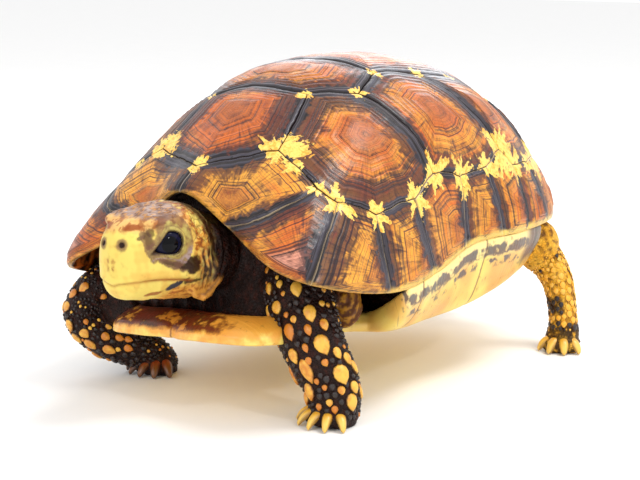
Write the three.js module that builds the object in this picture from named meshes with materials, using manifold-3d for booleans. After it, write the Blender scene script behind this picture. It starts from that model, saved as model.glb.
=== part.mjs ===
// A forest hinge-back tortoise, life size, walking. Millimetres, +Z up, the floor at Z = 0.
// The animal faces -Y and its left side is +X. The finished group stands on the middle of its
// own box, so every number below is in the animal's own frame, whose origin is under the shell.
import * as THREE from "three";
import { mergeVertices } from "three/addons/utils/BufferGeometryUtils.js";
import Module from "manifold-3d";

const wasm = await Module();
wasm.setup();

// ---- Driving dimensions ------------------------------------------------------------------

const GAP = 0.35; // between two neighbours that would touch
const SEAM = 0.46; // how far a shell plate stops short of its border, towards its middle

// The shell is a dome over a disc: p to the left, q to the rear, radius 1 at the free edge.
const SHELL_TOP = 114.4;
const SHELL_CENTRE_Y = -2.9;
const DOME = { front: 76.5, rear: 86, side: 64, level: 57.8, squareness: 2.3 }; // its own plan and base
const RIM_FROM = 0.5; // where on the disc the dome's plan starts to turn into the free edge's
const SPREAD = { front: 1.03, side: 0.865, rear: 0.78 }; // how the plan widens from the crown
const FALL = { front: 1.3, side: 1.13, rear: 0.97 }; // how the height falls to the edge
const MARGIN = [ // the free edge: angle from the front, reach from the centre, height
  { angle: 0, reach: 81.7, height: 69.7 },
  { angle: 14, reach: 82.4, height: 58.1 },
  { angle: 32, reach: 100, height: 43.1 },
  { angle: 52, reach: 78.2, height: 35.5 },
  { angle: 74, reach: 62.7, height: 39.2 },
  { angle: 95, reach: 60.4, height: 46.4 },
  { angle: 120, reach: 72, height: 48.4 },
  { angle: 150, reach: 91, height: 50 },
  { angle: 180, reach: 90.5, height: 44.9 },
];
const BODY_ROLL = -4.3; // degrees, the left side carried higher
const BODY_PITCH = -2.8; // degrees, the front carried higher
const BODY_PIVOT = new THREE.Vector3(0, 0, 60);

const PLATE_THICKNESS = 2.6;
const EDGE_THICKNESS = 1.9; // of a marginal plate at its free edge
const PLATE_BULGE = 0.9; // how much a plate's middle stands over its borders
const TRUNK_DEPTH = 4.5; // of the trunk under the shell's outer face

// The plastron's outline: angle from the front, reach from the shell's centre, height of its under face.
const PLASTRON_LEVEL = 22;
const PLASTRON_THICKNESS = 3.5;
const LIP_THICKNESS = 6.3;
const LOBES = [
  { angle: 0, reach: 88.3, height: 20.5 },
  { angle: 8, reach: 90.3, height: 20.5 },
  { angle: 18, reach: 91, height: 20 },
  { angle: 25, reach: 85.7, height: 19.5 },
  { angle: 32, reach: 72, height: 19 },
  { angle: 41, reach: 57.4, height: 19 },
  { angle: 56, reach: 55, height: 18.5 },
  { angle: 95, reach: 54, height: 21 },
  { angle: 122, reach: 60, height: 26.5 },
  { angle: 137, reach: 61.4, height: 30.5 },
  { angle: 152, reach: 73, height: 29 },
  { angle: 167, reach: 82.6, height: 28 },
  { angle: 174, reach: 81.7, height: 28 },
  { angle: 180, reach: 76.7, height: 28 },
];
const BRIDGE = { from: 50, to: 138, blend: 9 }; // degrees along the side where shell and plastron join

// The head's own frame has its origin between the eyes and faces -Y.
const HEAD_PLACE = new THREE.Vector3(1.2, -102.5, 60.8);
const HEAD_YAW = 4; // degrees to the animal's left
const HEAD_BACK = 22;
const HEAD_SIDES = 18; // corners of its cross-section
const HEAD_SQUARENESS = 0.82; // 1 is an ellipse, less is squarer
const HEAD_BLOCK = 60; // more than the head in every direction
const HEAD = [ // stations from the snout to the nape
  { y: -16.2, half: 2.8, top: -2.0, bottom: -12.0 },
  { y: -15.4, half: 5.8, top: 3.4, bottom: -15.6 },
  { y: -12.6, half: 8.2, top: 6.6, bottom: -17.8 },
  { y: -7.5, half: 10.4, top: 8.8, bottom: -18.9 },
  { y: -1, half: 13.2, top: 10.8, bottom: -19.8 },
  { y: 6, half: 14.6, top: 11.8, bottom: -21.0 },
  { y: 13, half: 15.0, top: 11.4, bottom: -22.0 },
  { y: 18, half: 14.4, top: 9.8, bottom: -22.0 },
  { y: HEAD_BACK, half: 12.6, top: 7.2, bottom: -20.0 },
];
const MOUTH = { // the line's heights and places, and how far the jaw's rear edge slants back
  tip: -12.2,
  tipY: -16,
  middle: -13.2,
  middleY: -6,
  corner: -12.4,
  cornerY: 8,
  behind: 8,
};
const EYE = { x: 8.2, y: 0, z: 0, radius: 6.1 };
const NOSTRIL = { x: 3.7, y: -15.4, z: 0.2, radius: 0.9, depth: 4 };

const HORN_ROUGHNESS = 0.45;
const SKIN_ROUGHNESS = 0.7;
const EYE_ROUGHNESS = 0.08;
const COLOURS = {
  skin: new THREE.Color(0x3a2c1c),
  scute: new THREE.Color(0x8a4a1c),
  rim: new THREE.Color(0xa0601f),
  plastron: new THREE.Color(0xd8b860),
  face: new THREE.Color(0xb98f45),
  eye: new THREE.Color(0x0c0c10),
  hind: new THREE.Color(0xb07a2c),
};

// ---- Curves and small helpers --------------------------------------------------------------

const radians = THREE.MathUtils.degToRad;
const mix = THREE.MathUtils.lerp;
const smooth = (value, from, to) => THREE.MathUtils.smoothstep(value, from, to);

/** A smooth curve through the stations' values, level at both ends. */
function through(stations, at, key) {
  const xs = stations.map((station) => station[at]);
  const ys = stations.map((station) => station[key]);
  const last = xs.length - 1;
  const slope = (i) => (i === 0 || i === last ? 0 : (ys[i + 1] - ys[i - 1]) / (xs[i + 1] - xs[i - 1]));
  return (value) => {
    const x = THREE.MathUtils.clamp(value, xs[0], xs[last]);
    let i = 0;
    while (i < last - 1 && x > xs[i + 1]) i += 1;
    const width = xs[i + 1] - xs[i];
    const t = (x - xs[i]) / width;
    const s = 1 - t;
    return ys[i] * s * s * (1 + 2 * t) + ys[i + 1] * t * t * (3 - 2 * t)
      + slope(i) * width * t * s * s - slope(i + 1) * width * t * t * s;
  };
}

/** Tilts a point of the shell, plastron or trunk as the walking body is tilted. */
function tilted(point) {
  return point.sub(BODY_PIVOT)
    .applyAxisAngle(new THREE.Vector3(0, 1, 0), radians(BODY_ROLL))
    .applyAxisAngle(new THREE.Vector3(1, 0, 0), radians(BODY_PITCH))
    .add(BODY_PIVOT);
}

/** The geometry of a closed body from vertices and triangles, with its faces turned outwards. */
function closed(points, triangles) {
  let volume = 0;
  for (const [a, b, c] of triangles) {
    volume += points[a].dot(new THREE.Vector3().crossVectors(points[b], points[c]));
  }
  const faces = volume > 0 ? triangles : triangles.map(([a, b, c]) => [a, c, b]);
  const geometry = new THREE.BufferGeometry();
  geometry.setAttribute("position", new THREE.Float32BufferAttribute(points.flatMap((v) => v.toArray()), 3));
  geometry.setIndex(faces.flat());
  return geometry;
}

/** A closed body through rings of equal count, with a point or a flat fan at each end. */
function loft(rings, first, last) {
  const count = rings[0].length;
  const points = rings.flat().concat([first, last]);
  const start = rings.length * count;
  const triangles = [];
  for (let i = 0; i < count; i += 1) {
    const j = (i + 1) % count;
    triangles.push([start, j, i]);
    triangles.push([start + 1, start - count + i, start - count + j]);
    for (let r = 0; r + 1 < rings.length; r += 1) {
      const a = r * count;
      const b = a + count;
      triangles.push([a + i, a + j, b + j]);
      triangles.push([a + i, b + j, b + i]);
    }
  }
  return closed(points, triangles);
}

/** The middle of a ring of points. */
function middle(ring) {
  const sum = new THREE.Vector3();
  for (const point of ring) sum.add(point);
  return sum.divideScalar(ring.length);
}

/** A closed geometry as a solid that can be joined and cut. */
function solid(source) {
  const bare = source.clone();
  bare.deleteAttribute("normal");
  bare.deleteAttribute("uv");
  const merged = mergeVertices(bare, 1e-4);
  return new wasm.Manifold(new wasm.Mesh({
    numProp: 3,
    vertProperties: new Float32Array(merged.getAttribute("position").array),
    triVerts: new Uint32Array(merged.getIndex().array),
  }));
}

/** A joined or cut solid as geometry again. */
function geometryOf(body) {
  const { numProp, vertProperties, triVerts } = body.getMesh();
  const positions = [];
  for (let i = 0; i < vertProperties.length; i += numProp) {
    positions.push(vertProperties[i], vertProperties[i + 1], vertProperties[i + 2]);
  }
  const geometry = new THREE.BufferGeometry();
  geometry.setAttribute("position", new THREE.Float32BufferAttribute(positions, 3));
  geometry.setIndex([...triVerts]);
  return geometry;
}

const tortoise = new THREE.Group();

/** Adds one named piece to the animal. */
function add(name, geometry, color, roughness = SKIN_ROUGHNESS) {
  const material = new THREE.MeshStandardMaterial({ color, roughness, metalness: 0 });
  const mesh = new THREE.Mesh(geometry, material);
  mesh.name = name;
  tortoise.add(mesh);
  return mesh;
}

// ---- The shell's surface -------------------------------------------------------------------

const marginReach = through(MARGIN, "angle", "reach");
const marginHeight = through(MARGIN, "angle", "height");
const lobeReach = through(LOBES, "angle", "reach");
const lobeHeight = through(LOBES, "angle", "height");

/** A value that is one thing in front, another at the side and another at the rear. */
function around(angle, values) {
  const cosine = Math.cos(angle);
  const front = Math.max(cosine, 0) ** 2;
  const rear = Math.max(-cosine, 0) ** 2;
  return values.front * front + values.rear * rear + values.side * (1 - front - rear);
}

/** How far the dome alone would reach at an angle: a rounded square that is longer than wide. */
function domeReach(angle) {
  const cosine = Math.cos(angle);
  const length = cosine > 0 ? DOME.front : DOME.rear;
  const power = DOME.squareness;
  const sum = Math.abs(cosine / length) ** power + Math.abs(Math.sin(angle) / DOME.side) ** power;
  return sum ** (-1 / power);
}

/** The shell's smooth outer face at the disc point (p, q), before the body is tilted. */
function shellFace(p, q) {
  const rho = Math.hypot(p, q);
  const angle = Math.atan2(p, -q);
  const degrees = THREE.MathUtils.radToDeg(Math.abs(angle));
  const rim = smooth(rho, RIM_FROM, 1);
  const reach = mix(domeReach(angle), marginReach(degrees), rim);
  const base = mix(DOME.level, marginHeight(degrees), rim);
  const bend = (rho * Math.PI) / 2;
  const out = Math.sin(Math.min(bend, Math.PI - bend)) ** around(angle, SPREAD);
  const up = Math.sign(Math.cos(bend)) * Math.abs(Math.cos(bend)) ** around(angle, FALL);
  return new THREE.Vector3(
    reach * out * Math.sin(angle),
    SHELL_CENTRE_Y - reach * out * Math.cos(angle),
    base + (SHELL_TOP - base) * up,
  );
}

/** The shell's outward direction at a disc point. */
function shellNormal(p, q) {
  const step = 1e-3;
  const alongP = shellFace(p + step, q).sub(shellFace(p - step, q));
  const alongQ = shellFace(p, q + step).sub(shellFace(p, q - step));
  return alongQ.cross(alongP).normalize().negate();
}

/** A point of the shell at a depth under its outer face, on the tilted body. */
function inShell(p, q, depth) {
  return tilted(shellFace(p, q).addScaledVector(shellNormal(p, q), -depth));
}

// ---- The shell's plates ----------------------------------------------------------------------

/** A point of the free edge on the disc, at an angle from the front. */
const edge = (degrees) => [Math.sin(radians(degrees)), -Math.cos(radians(degrees))];

// Where three plates of the left side meet, on the disc. v, c and m are vertebral, costal, marginal.
const MEET = {
  v1_front: [0, -0.754],
  v1_c1_m1: [0.26, -0.584],
  v1_v2_c1: [0.2, -0.35],
  v2_c1_c2: [0.32, -0.26],
  v2_v3_c2: [0.28, -0.115],
  v3_c2_c3: [0.306, 0.086],
  v3_v4_c3: [0.265, 0.25],
  v4_c3_c4: [0.29, 0.41],
  v4_v5_c4: [0.18, 0.545],
  c1_m1_m2: [0.421, -0.605],
  c1_m2_m3: [0.489, -0.589],
  c1_m3_m4: [0.607, -0.508],
  c1_m4_m5: [0.706, -0.338],
  c1_c2_m5: [0.712, -0.189],
  c2_m5_m6: [0.771, -0.008],
  c2_m6_m7: [0.73, 0.2],
  c2_c3_m7: [0.641, 0.307],
  c3_m7_m8: [0.655, 0.39],
  c3_m8_m9: [0.585, 0.51],
  c3_c4_m9: [0.515, 0.575],
  c4_m9_m10: [0.455, 0.63],
  c4_m10_m11: [0.34, 0.7],
  v5_c4_m11: [0.245, 0.75],
  v5_m11_rear: [0.165, 0.79],
  m1_m2: edge(12.8),
  m2_m3: edge(34.1),
  m3_m4: edge(52.6),
  m4_m5: edge(71),
  m5_m6: edge(90.8),
  m6_m7: edge(108.4),
  m7_m8: edge(121),
  m8_m9: edge(133),
  m9_m10: edge(145),
  m10_m11: edge(157),
  m11_rear: edge(168),
  front: edge(0),
};
const VERTEBRALS = [ // the left half of each plate's border, from its front to its rear
  ["v1_front", "v1_c1_m1", "v1_v2_c1"],
  ["v1_v2_c1", "v2_c1_c2", "v2_v3_c2"],
  ["v2_v3_c2", "v3_c2_c3", "v3_v4_c3"],
  ["v3_v4_c3", "v4_c3_c4", "v4_v5_c4"],
  ["v4_v5_c4", "v5_c4_m11", "v5_m11_rear"],
];
const COSTALS = [
  ["v1_v2_c1", "v1_c1_m1", "c1_m1_m2", "c1_m2_m3", "c1_m3_m4", "c1_m4_m5", "c1_c2_m5", "v2_c1_c2"],
  ["v2_c1_c2", "c1_c2_m5", "c2_m5_m6", "c2_m6_m7", "c2_c3_m7", "v3_c2_c3", "v2_v3_c2"],
  ["v3_c2_c3", "c2_c3_m7", "c3_m7_m8", "c3_m8_m9", "c3_c4_m9", "v4_c3_c4", "v3_v4_c3"],
  ["v4_c3_c4", "c3_c4_m9", "c4_m9_m10", "c4_m10_m11", "v5_c4_m11", "v4_v5_c4"],
];
const MARGINALS = [
  ["front", "m1_m2", "c1_m1_m2", "v1_c1_m1", "v1_front"],
  ["m1_m2", "m2_m3", "c1_m2_m3", "c1_m1_m2"],
  ["m2_m3", "m3_m4", "c1_m3_m4", "c1_m2_m3"],
  ["m3_m4", "m4_m5", "c1_m4_m5", "c1_m3_m4"],
  ["m4_m5", "m5_m6", "c2_m5_m6", "c1_c2_m5", "c1_m4_m5"],
  ["m5_m6", "m6_m7", "c2_m6_m7", "c2_m5_m6"],
  ["m6_m7", "m7_m8", "c3_m7_m8", "c2_c3_m7", "c2_m6_m7"],
  ["m7_m8", "m8_m9", "c3_m8_m9", "c3_m7_m8"],
  ["m8_m9", "m9_m10", "c4_m9_m10", "c3_c4_m9", "c3_m8_m9"],
  ["m9_m10", "m10_m11", "c4_m10_m11", "c4_m9_m10"],
  ["m10_m11", "m11_rear", "v5_m11_rear", "v5_c4_m11", "c4_m10_m11"],
];
const STEP = 0.125; // the longest stretch of a plate's border between two points, on the disc
// The shares of the way from a plate's middle to its border where its outer and inner rings stand.
const LARGE_PLATE = { outer: [0.35, 0.7, 1], inner: [1, 0.55] };
const SMALL_PLATE = { outer: [0.5, 1], inner: [1, 0.5] };

const mirrored = ([p, q]) => [-p, q];

/** A plate's corners as a border of many points. Along the free edge it follows the arc. */
function border(corners) {
  const points = [];
  corners.forEach(([p, q], i) => {
    const [nextP, nextQ] = corners[(i + 1) % corners.length];
    const count = Math.ceil(Math.hypot(nextP - p, nextQ - q) / STEP);
    const onEdge = Math.hypot(p, q) > 0.999 && Math.hypot(nextP, nextQ) > 0.999;
    for (let k = 0; k < count; k += 1) {
      const point = new THREE.Vector2(mix(p, nextP, k / count), mix(q, nextQ, k / count));
      points.push(onEdge ? point.normalize() : point);
    }
  });
  return points;
}

/** How thick the plates are at a disc point. */
function plateDepth(p, q) {
  return mix(PLATE_THICKNESS, EDGE_THICKNESS, smooth(Math.hypot(p, q), 0.86, 1));
}

/** One plate of the shell: rings on its outer face, its rim, and rings on its inner face. */
function plate(name, corners, color, { outer, inner }) {
  const outline = border(corners);
  const centre = new THREE.Vector2();
  for (const point of outline) centre.addScaledVector(point, 1 / outline.length);
  const onFace = (share, under) => outline.map((point) => {
    const span = shellFace(point.x, point.y).distanceTo(shellFace(centre.x, centre.y));
    const s = share * (1 - SEAM / span);
    const p = mix(centre.x, point.x, s);
    const q = mix(centre.y, point.y, s);
    const bulge = PLATE_BULGE * (1 - s * s);
    return inShell(p, q, under ? plateDepth(p, q) : -bulge);
  });
  const rings = outer.map((share) => onFace(share, false))
    .concat(inner.map((share) => onFace(share, true)));
  const top = inShell(centre.x, centre.y, -PLATE_BULGE);
  const bottom = inShell(centre.x, centre.y, plateDepth(centre.x, centre.y));
  add(name, loft(rings, top, bottom), color, HORN_ROUGHNESS);
}

function buildPlates() {
  const points = (names) => names.map((name) => MEET[name]);
  VERTEBRALS.forEach((names, i) => {
    const left = points(names);
    const right = left.filter(([p]) => p > 0).map(mirrored).reverse();
    plate(`vertebral_${i + 1}`, left.concat(right), COLOURS.scute, LARGE_PLATE);
  });
  for (const side of ["left", "right"]) {
    const place = (names) => (side === "left" ? points(names) : points(names).map(mirrored));
    COSTALS.forEach((names, i) => {
      plate(`costal_${side}_${i + 1}`, place(names), COLOURS.scute, LARGE_PLATE);
    });
    MARGINALS.forEach((names, i) => {
      plate(`marginal_${side}_${i + 1}`, place(names), COLOURS.rim, SMALL_PLATE);
    });
  }
  const rear = [MEET.m11_rear, edge(180), mirrored(MEET.m11_rear)];
  const front = [mirrored(MEET.v5_m11_rear), MEET.v5_m11_rear];
  plate("supracaudal", rear.concat(front), COLOURS.rim, SMALL_PLATE);
}

// ---- Plastron and trunk ----------------------------------------------------------------------

const ROUND = 32; // stations round the body

/** One where shell and plastron are joined at the side, nothing at the open ends. */
function bridge(degrees) {
  const { from, to, blend } = BRIDGE;
  return smooth(degrees, from, from + blend) * (1 - smooth(degrees, to - blend, to));
}

/** A ring round the body from a function that gives reach and height for an angle from the front. */
function bodyRing(profile) {
  const ring = [];
  for (let i = 0; i < ROUND; i += 1) {
    const angle = ((i + 0.5) / ROUND) * 2 * Math.PI - Math.PI;
    const degrees = THREE.MathUtils.radToDeg(Math.abs(angle));
    const [reach, height] = profile(degrees);
    const x = reach * Math.sin(angle);
    ring.push(tilted(new THREE.Vector3(x, SHELL_CENTRE_Y - reach * Math.cos(angle), height)));
  }
  return ring;
}

/**
 * A ring of plastron or trunk. The lobe and the side are functions that give [reach, height] from
 * the lobe's reach and level, and from the shell's rim, its height and the level under it.
 */
function lobeOrBridge(lobe, side) {
  return bodyRing((degrees) => {
    const share = bridge(degrees);
    const level = lobeHeight(degrees);
    const a = lobe(lobeReach(degrees), level);
    const b = side(marginReach(degrees), marginHeight(degrees), level);
    return [mix(a[0], b[0], share), mix(a[1], b[1], share)];
  });
}

/** The plastron with its thick front lip, and the bridges that rise to the shell's edge. */
function plastronBody() {
  const lip = LIP_THICKNESS;
  const rings = [ // up the outside, then down the inside
    lobeOrBridge((r, z) => [r * 0.8, z + 0.3], (rim, top, z) => [rim * 0.7, z + 0.4]),
    lobeOrBridge((r, z) => [r - 1.6, z + 0.8], (rim, top, z) => [rim * 0.87, z + 2.8]),
    lobeOrBridge((r, z) => [r, z + 3], (rim, top) => [rim * 0.975, top - 7]),
    lobeOrBridge((r, z) => [r - 0.6, z + 5], (rim, top) => [rim - 0.2, top - 0.6]),
    lobeOrBridge((r, z) => [r - 2, z + lip], (rim, top) => [rim - 2.2, top - 0.6]),
    lobeOrBridge((r, z) => [r - 9, z + lip], (rim, top) => [rim * 0.975 - 3.2, top - 6.6]),
    lobeOrBridge((r, z) => [r - 14, z + 4.6], (rim, top, z) => [rim * 0.86 - 2, z + 6.4]),
    lobeOrBridge((r, z) => [r * 0.66, z + 3.8], (rim, top, z) => [rim * 0.66, z + 3.9]),
  ];
  const centre = (height) => tilted(new THREE.Vector3(0, SHELL_CENTRE_Y, height));
  return solid(loft(rings, centre(PLASTRON_LEVEL), centre(PLASTRON_LEVEL + PLASTRON_THICKNESS)));
}

/** The soft body inside the shell, set back behind the openings for the limbs. */
function trunkBody() {
  const under = (rho) => {
    const ring = [];
    for (let i = 0; i < ROUND; i += 1) {
      const angle = ((i + 0.5) / ROUND) * 2 * Math.PI - Math.PI;
      const share = bridge(THREE.MathUtils.radToDeg(Math.abs(angle)));
      const r = mix(rho * 0.8, rho, share);
      ring.push(inShell(r * Math.sin(angle), -r * Math.cos(angle), TRUNK_DEPTH));
    }
    return ring;
  };
  const rings = [
    under(0.3),
    under(0.6),
    under(0.9),
    lobeOrBridge((r, z) => [r - 23, z + 22], (rim, top) => [rim - 5, top - 1.5]),
    lobeOrBridge((r, z) => [r - 21, z + 12], (rim, top) => [rim * 0.975 - 5.6, top - 6]),
    lobeOrBridge((r, z) => [r - 19, z + 6], (rim, top, z) => [rim * 0.86 - 4.8, z + 8.6]),
    lobeOrBridge((r, z) => [r * 0.62, z + 5], (rim, top, z) => [rim * 0.62, z + 5.4]),
  ];
  const bottom = tilted(new THREE.Vector3(0, SHELL_CENTRE_Y, PLASTRON_LEVEL + PLASTRON_THICKNESS + 1));
  return solid(loft(rings, inShell(0, 0, TRUNK_DEPTH), bottom));
}

// ---- Limbs ----------------------------------------------------------------------------------

const SIDES = 10; // corners of a limb's cross-section
const RINGS = 12; // cross-sections along a whole limb
const CUT = 0.006; // half of a thin cut between two stretches, as a share of the limb
const START = 0.035; // where a limb begins inside its socket, as a share of the limb
const CLEAR = 0.03; // the least stretch between two cross-sections, as a share of the limb
const SOLE = 0.93; // the share of the limb that the claws stand round
const CLAW = { // heights, and how far back the root is sunk
  sunk: 2.2,
  rootHeight: 4.2,
  knuckleHeight: 4.4,
  tipHeight: -0.4,
  knuckle: 0.28, // shares of the claw's length
  tip: 0.5,
  taper: 0.72,
  corners: 5,
};
const FLOOR_BLOCK = { side: 60, height: 20 };

// Each limb: places along its middle, with half widths across (broad) and through (thin). The bend
// and the ankle are the numbers of the cross-sections where it is parted.
const LIMBS = {
  foreleg_left: {
    broadside: [1, 0.1, 0.25],
    bend: 5,
    ankle: 8,
    path: [
      { at: [22, -46, 47], broad: 9, thin: 9 },
      { at: [32, -62, 45], broad: 12, thin: 9.5 },
      { at: [44, -70, 29], broad: 11.6, thin: 9 },
      { at: [51.5, -68, 13], broad: 10, thin: 8 },
      { at: [52, -67, 4], broad: 8.6, thin: 8 },
      { at: [52, -67, -2], broad: 7.8, thin: 7.4 },
    ],
    claws: { count: 5, from: -60, to: 62, heading: -6, reach: 7.4, radius: 2.5, length: 7.4 },
  },
  foreleg_right: {
    broadside: [0.7, -0.7, 0.1],
    bend: 4,
    ankle: 8,
    path: [
      { at: [-24, -48, 43], broad: 9, thin: 9 },
      { at: [-39.5, -62.5, 37.4], broad: 9.5, thin: 9 },
      { at: [-52, -74.5, 31.6], broad: 9, thin: 7.6 },
      { at: [-56, -78, 22.6], broad: 8.6, thin: 7 },
      { at: [-51, -72, 14.5], broad: 8.4, thin: 7.8 },
      { at: [-43, -63, 9], broad: 7.6, thin: 7.4 },
      { at: [-38.5, -57.5, 4], broad: 7.2, thin: 7 },
      { at: [-38, -57, -2], broad: 7, thin: 6.8 },
    ],
    claws: { count: 5, from: -62, to: 58, heading: 8, reach: 6.6, radius: 2.2, length: 7 },
  },
  hindleg_left: {
    broadside: [0.75, 0.65, 0.1],
    bend: 5,
    ankle: 8,
    path: [
      { at: [30, 42, 44], broad: 9, thin: 9 },
      { at: [46, 58, 42], broad: 9, thin: 8.5 },
      { at: [55.5, 66, 29], broad: 6.4, thin: 6.4 },
      { at: [60.5, 65, 12], broad: 5.6, thin: 5.8 },
      { at: [61.5, 63.5, 5], broad: 6.6, thin: 6.6 },
      { at: [61.8, 63, -2], broad: 6.4, thin: 6.4 },
    ],
    claws: { count: 4, from: -48, to: 48, heading: 14, reach: 5.2, radius: 2.2, length: 6 },
  },
  hindleg_right: {
    broadside: [0.75, -0.65, 0.1],
    bend: 5,
    ankle: 8,
    path: [
      { at: [-30, 36, 42], broad: 9, thin: 9 },
      { at: [-46, 47, 38], broad: 9, thin: 8.5 },
      { at: [-55, 52, 26], broad: 6.6, thin: 6.6 },
      { at: [-58.5, 50, 12], broad: 5.8, thin: 6 },
      { at: [-59, 48.5, 5], broad: 6.6, thin: 6.6 },
      { at: [-59, 48, -2], broad: 6.4, thin: 6.4 },
    ],
    claws: { count: 4, from: -48, to: 48, heading: -10, reach: 5.2, radius: 2.2, length: 6 },
  },
};

/** The cross-section of a limb at a share of its length, grown by a margin. */
function limbRing(limb, share, grow) {
  const { curve, broad, thin } = limb;
  const at = curve.getPoint(share);
  const along = curve.getTangent(share);
  const across = new THREE.Vector3(...limb.broadside);
  across.addScaledVector(along, -across.dot(along)).normalize();
  const depthwise = new THREE.Vector3().crossVectors(along, across);
  const ring = [];
  for (let i = 0; i < SIDES; i += 1) {
    const angle = (i / SIDES) * 2 * Math.PI;
    ring.push(at.clone()
      .addScaledVector(across, (broad(share) + grow) * Math.cos(angle))
      .addScaledVector(depthwise, (thin(share) + grow) * Math.sin(angle)));
  }
  return ring;
}

/** A stretch of a limb as a closed body. Its inner rings stand at the same shares in every stretch. */
function limbStretch(limb, from, to, grow = 0) {
  const shares = from < START ? [from, START] : [from];
  for (let step = 1; step < RINGS; step += 1) {
    const share = step / RINGS;
    if (share > from + CLEAR && share < to - CLEAR) shares.push(share);
  }
  const rings = shares.concat([to]).map((share) => limbRing(limb, share, grow));
  return solid(loft(rings, middle(rings[0]), middle(rings[rings.length - 1])));
}

/** A limb with its curve and widths ready to be sampled. */
function prepared(limb) {
  const curve = new THREE.CatmullRomCurve3(limb.path.map(({ at }) => new THREE.Vector3(...at)));
  const stations = limb.path.map(({ broad, thin }, i) => ({ at: i / (limb.path.length - 1), broad, thin }));
  return {
    ...limb,
    curve,
    broad: through(stations, "at", "broad"),
    thin: through(stations, "at", "thin"),
  };
}

/** A claw, curved down to the floor, that points along a heading in degrees from straight ahead. */
function claw(foot, heading, { reach, radius, length }) {
  const ahead = new THREE.Vector3(Math.sin(radians(heading)), -Math.cos(radians(heading)), 0);
  const place = (distance, height) => foot.clone().addScaledVector(ahead, reach + distance).setZ(height);
  const curve = new THREE.QuadraticBezierCurve3(
    place(-CLAW.sunk, CLAW.rootHeight),
    place(length * CLAW.knuckle, CLAW.knuckleHeight),
    place(length * CLAW.tip, CLAW.tipHeight),
  );
  const side = new THREE.Vector3(-ahead.y, ahead.x, 0);
  const rings = [0, 0.55, 1].map((share) => {
    const at = curve.getPoint(share);
    const up = new THREE.Vector3().crossVectors(curve.getTangent(share), side);
    const size = radius * (1 - CLAW.taper * share ** 1.6);
    const ring = [];
    for (let i = 0; i < CLAW.corners; i += 1) {
      const angle = (i / CLAW.corners) * 2 * Math.PI;
      ring.push(at.clone()
        .addScaledVector(side, size * 0.85 * Math.cos(angle))
        .addScaledVector(up, size * Math.sin(angle)));
    }
    return ring;
  });
  return solid(loft(rings, middle(rings[0]), middle(rings[2])));
}

/** A foot with its claws, cut level with the floor. */
function footBody(limb) {
  const { count, from, to, heading } = limb.claws;
  const centre = limb.curve.getPoint(SOLE);
  let body = limbStretch(limb, limb.ankle / RINGS + CUT, 1);
  for (let i = 0; i < count; i += 1) {
    body = body.add(claw(centre, heading + mix(from, to, i / (count - 1)), limb.claws));
  }
  const { side, height } = FLOOR_BLOCK;
  const floor = new THREE.BoxGeometry(side, side, height).translate(centre.x, centre.y, -height / 2);
  return body.subtract(solid(floor));
}

/** Adds the limbs' pieces, and gives back all that the limbs take up, with the gap round them. */
function buildLimbs() {
  const taken = [];
  for (const [name, plan] of Object.entries(LIMBS)) {
    const limb = prepared(plan);
    const color = name.startsWith("fore") ? COLOURS.skin : COLOURS.hind;
    const bend = limb.bend / RINGS;
    const ankle = limb.ankle / RINGS;
    add(`${name}_upper`, geometryOf(limbStretch(limb, START, bend - CUT)), color);
    add(`${name}_lower`, geometryOf(limbStretch(limb, bend + CUT, ankle - CUT)), color);
    add(`${name}_foot`, geometryOf(footBody(limb)), color);
    taken.push(limbStretch(limb, 0, ankle, GAP));
  }
  return taken;
}

// ---- Neck, head and tail -----------------------------------------------------------------------

const NECK = {
  broadside: [1, 0, 0],
  path: [
    { at: [0, -40, 50], broad: 12, thin: 12 },
    { at: [0.3, -57, 51], broad: 13, thin: 12 },
    { at: [1.6, -69, 51.5], broad: 13.5, thin: 12.5 },
    { at: [2.8, -83, 53.4], broad: 14, thin: 13.6 },
  ],
};
const TAIL = {
  broadside: [1, 0, 0],
  path: [
    { at: [0, 50, 42.5], broad: 6.4, thin: 5.6 },
    { at: [0, 68, 40], broad: 6, thin: 5 },
    { at: [0.5, 82, 32], broad: 4.6, thin: 4.2 },
    { at: [2, 89, 21], broad: 2.8, thin: 2.6 },
    { at: [3, 90.5, 12], broad: 0.9, thin: 0.9 },
  ],
};

/** The whole head in its own frame, mouth closed. */
function headBody() {
  const rings = HEAD.map(({ y, half, top, bottom }) => {
    const ring = [];
    for (let i = 0; i < HEAD_SIDES; i += 1) {
      const angle = (i / HEAD_SIDES) * 2 * Math.PI;
      const squarer = (value) => Math.sign(value) * Math.abs(value) ** HEAD_SQUARENESS;
      const x = half * squarer(Math.cos(angle));
      const z = mix(bottom, top, 0.5 + 0.5 * squarer(Math.sin(angle)));
      ring.push(new THREE.Vector3(x, y, z));
    }
    return ring;
  });
  return solid(loft(rings, middle(rings[0]), middle(rings[rings.length - 1])));
}

/** All that lies under the mouth's line, lowered by a drop. */
function underMouth(drop) {
  const { tip, tipY, middle: mid, middleY, corner, cornerY, behind } = MOUTH;
  const outline = new THREE.Shape();
  outline.moveTo(-HEAD_BLOCK, tip - drop);
  outline.lineTo(tipY, tip - drop);
  outline.quadraticCurveTo(middleY, mid - drop, cornerY - drop, corner - drop);
  outline.lineTo(cornerY + behind - drop, -HEAD_BLOCK);
  outline.lineTo(-HEAD_BLOCK, -HEAD_BLOCK);
  const extrusion = { depth: HEAD_BLOCK, bevelEnabled: false, curveSegments: 8 };
  const block = new THREE.ExtrudeGeometry(outline, extrusion);
  block.rotateY(Math.PI / 2).rotateX(Math.PI / 2);
  block.translate(-HEAD_BLOCK / 2, 0, 0);
  return solid(block);
}

/** Places a piece that was built in the head's own frame. */
function onHead(mesh) {
  mesh.position.copy(HEAD_PLACE);
  mesh.rotation.z = radians(HEAD_YAW);
}

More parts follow.
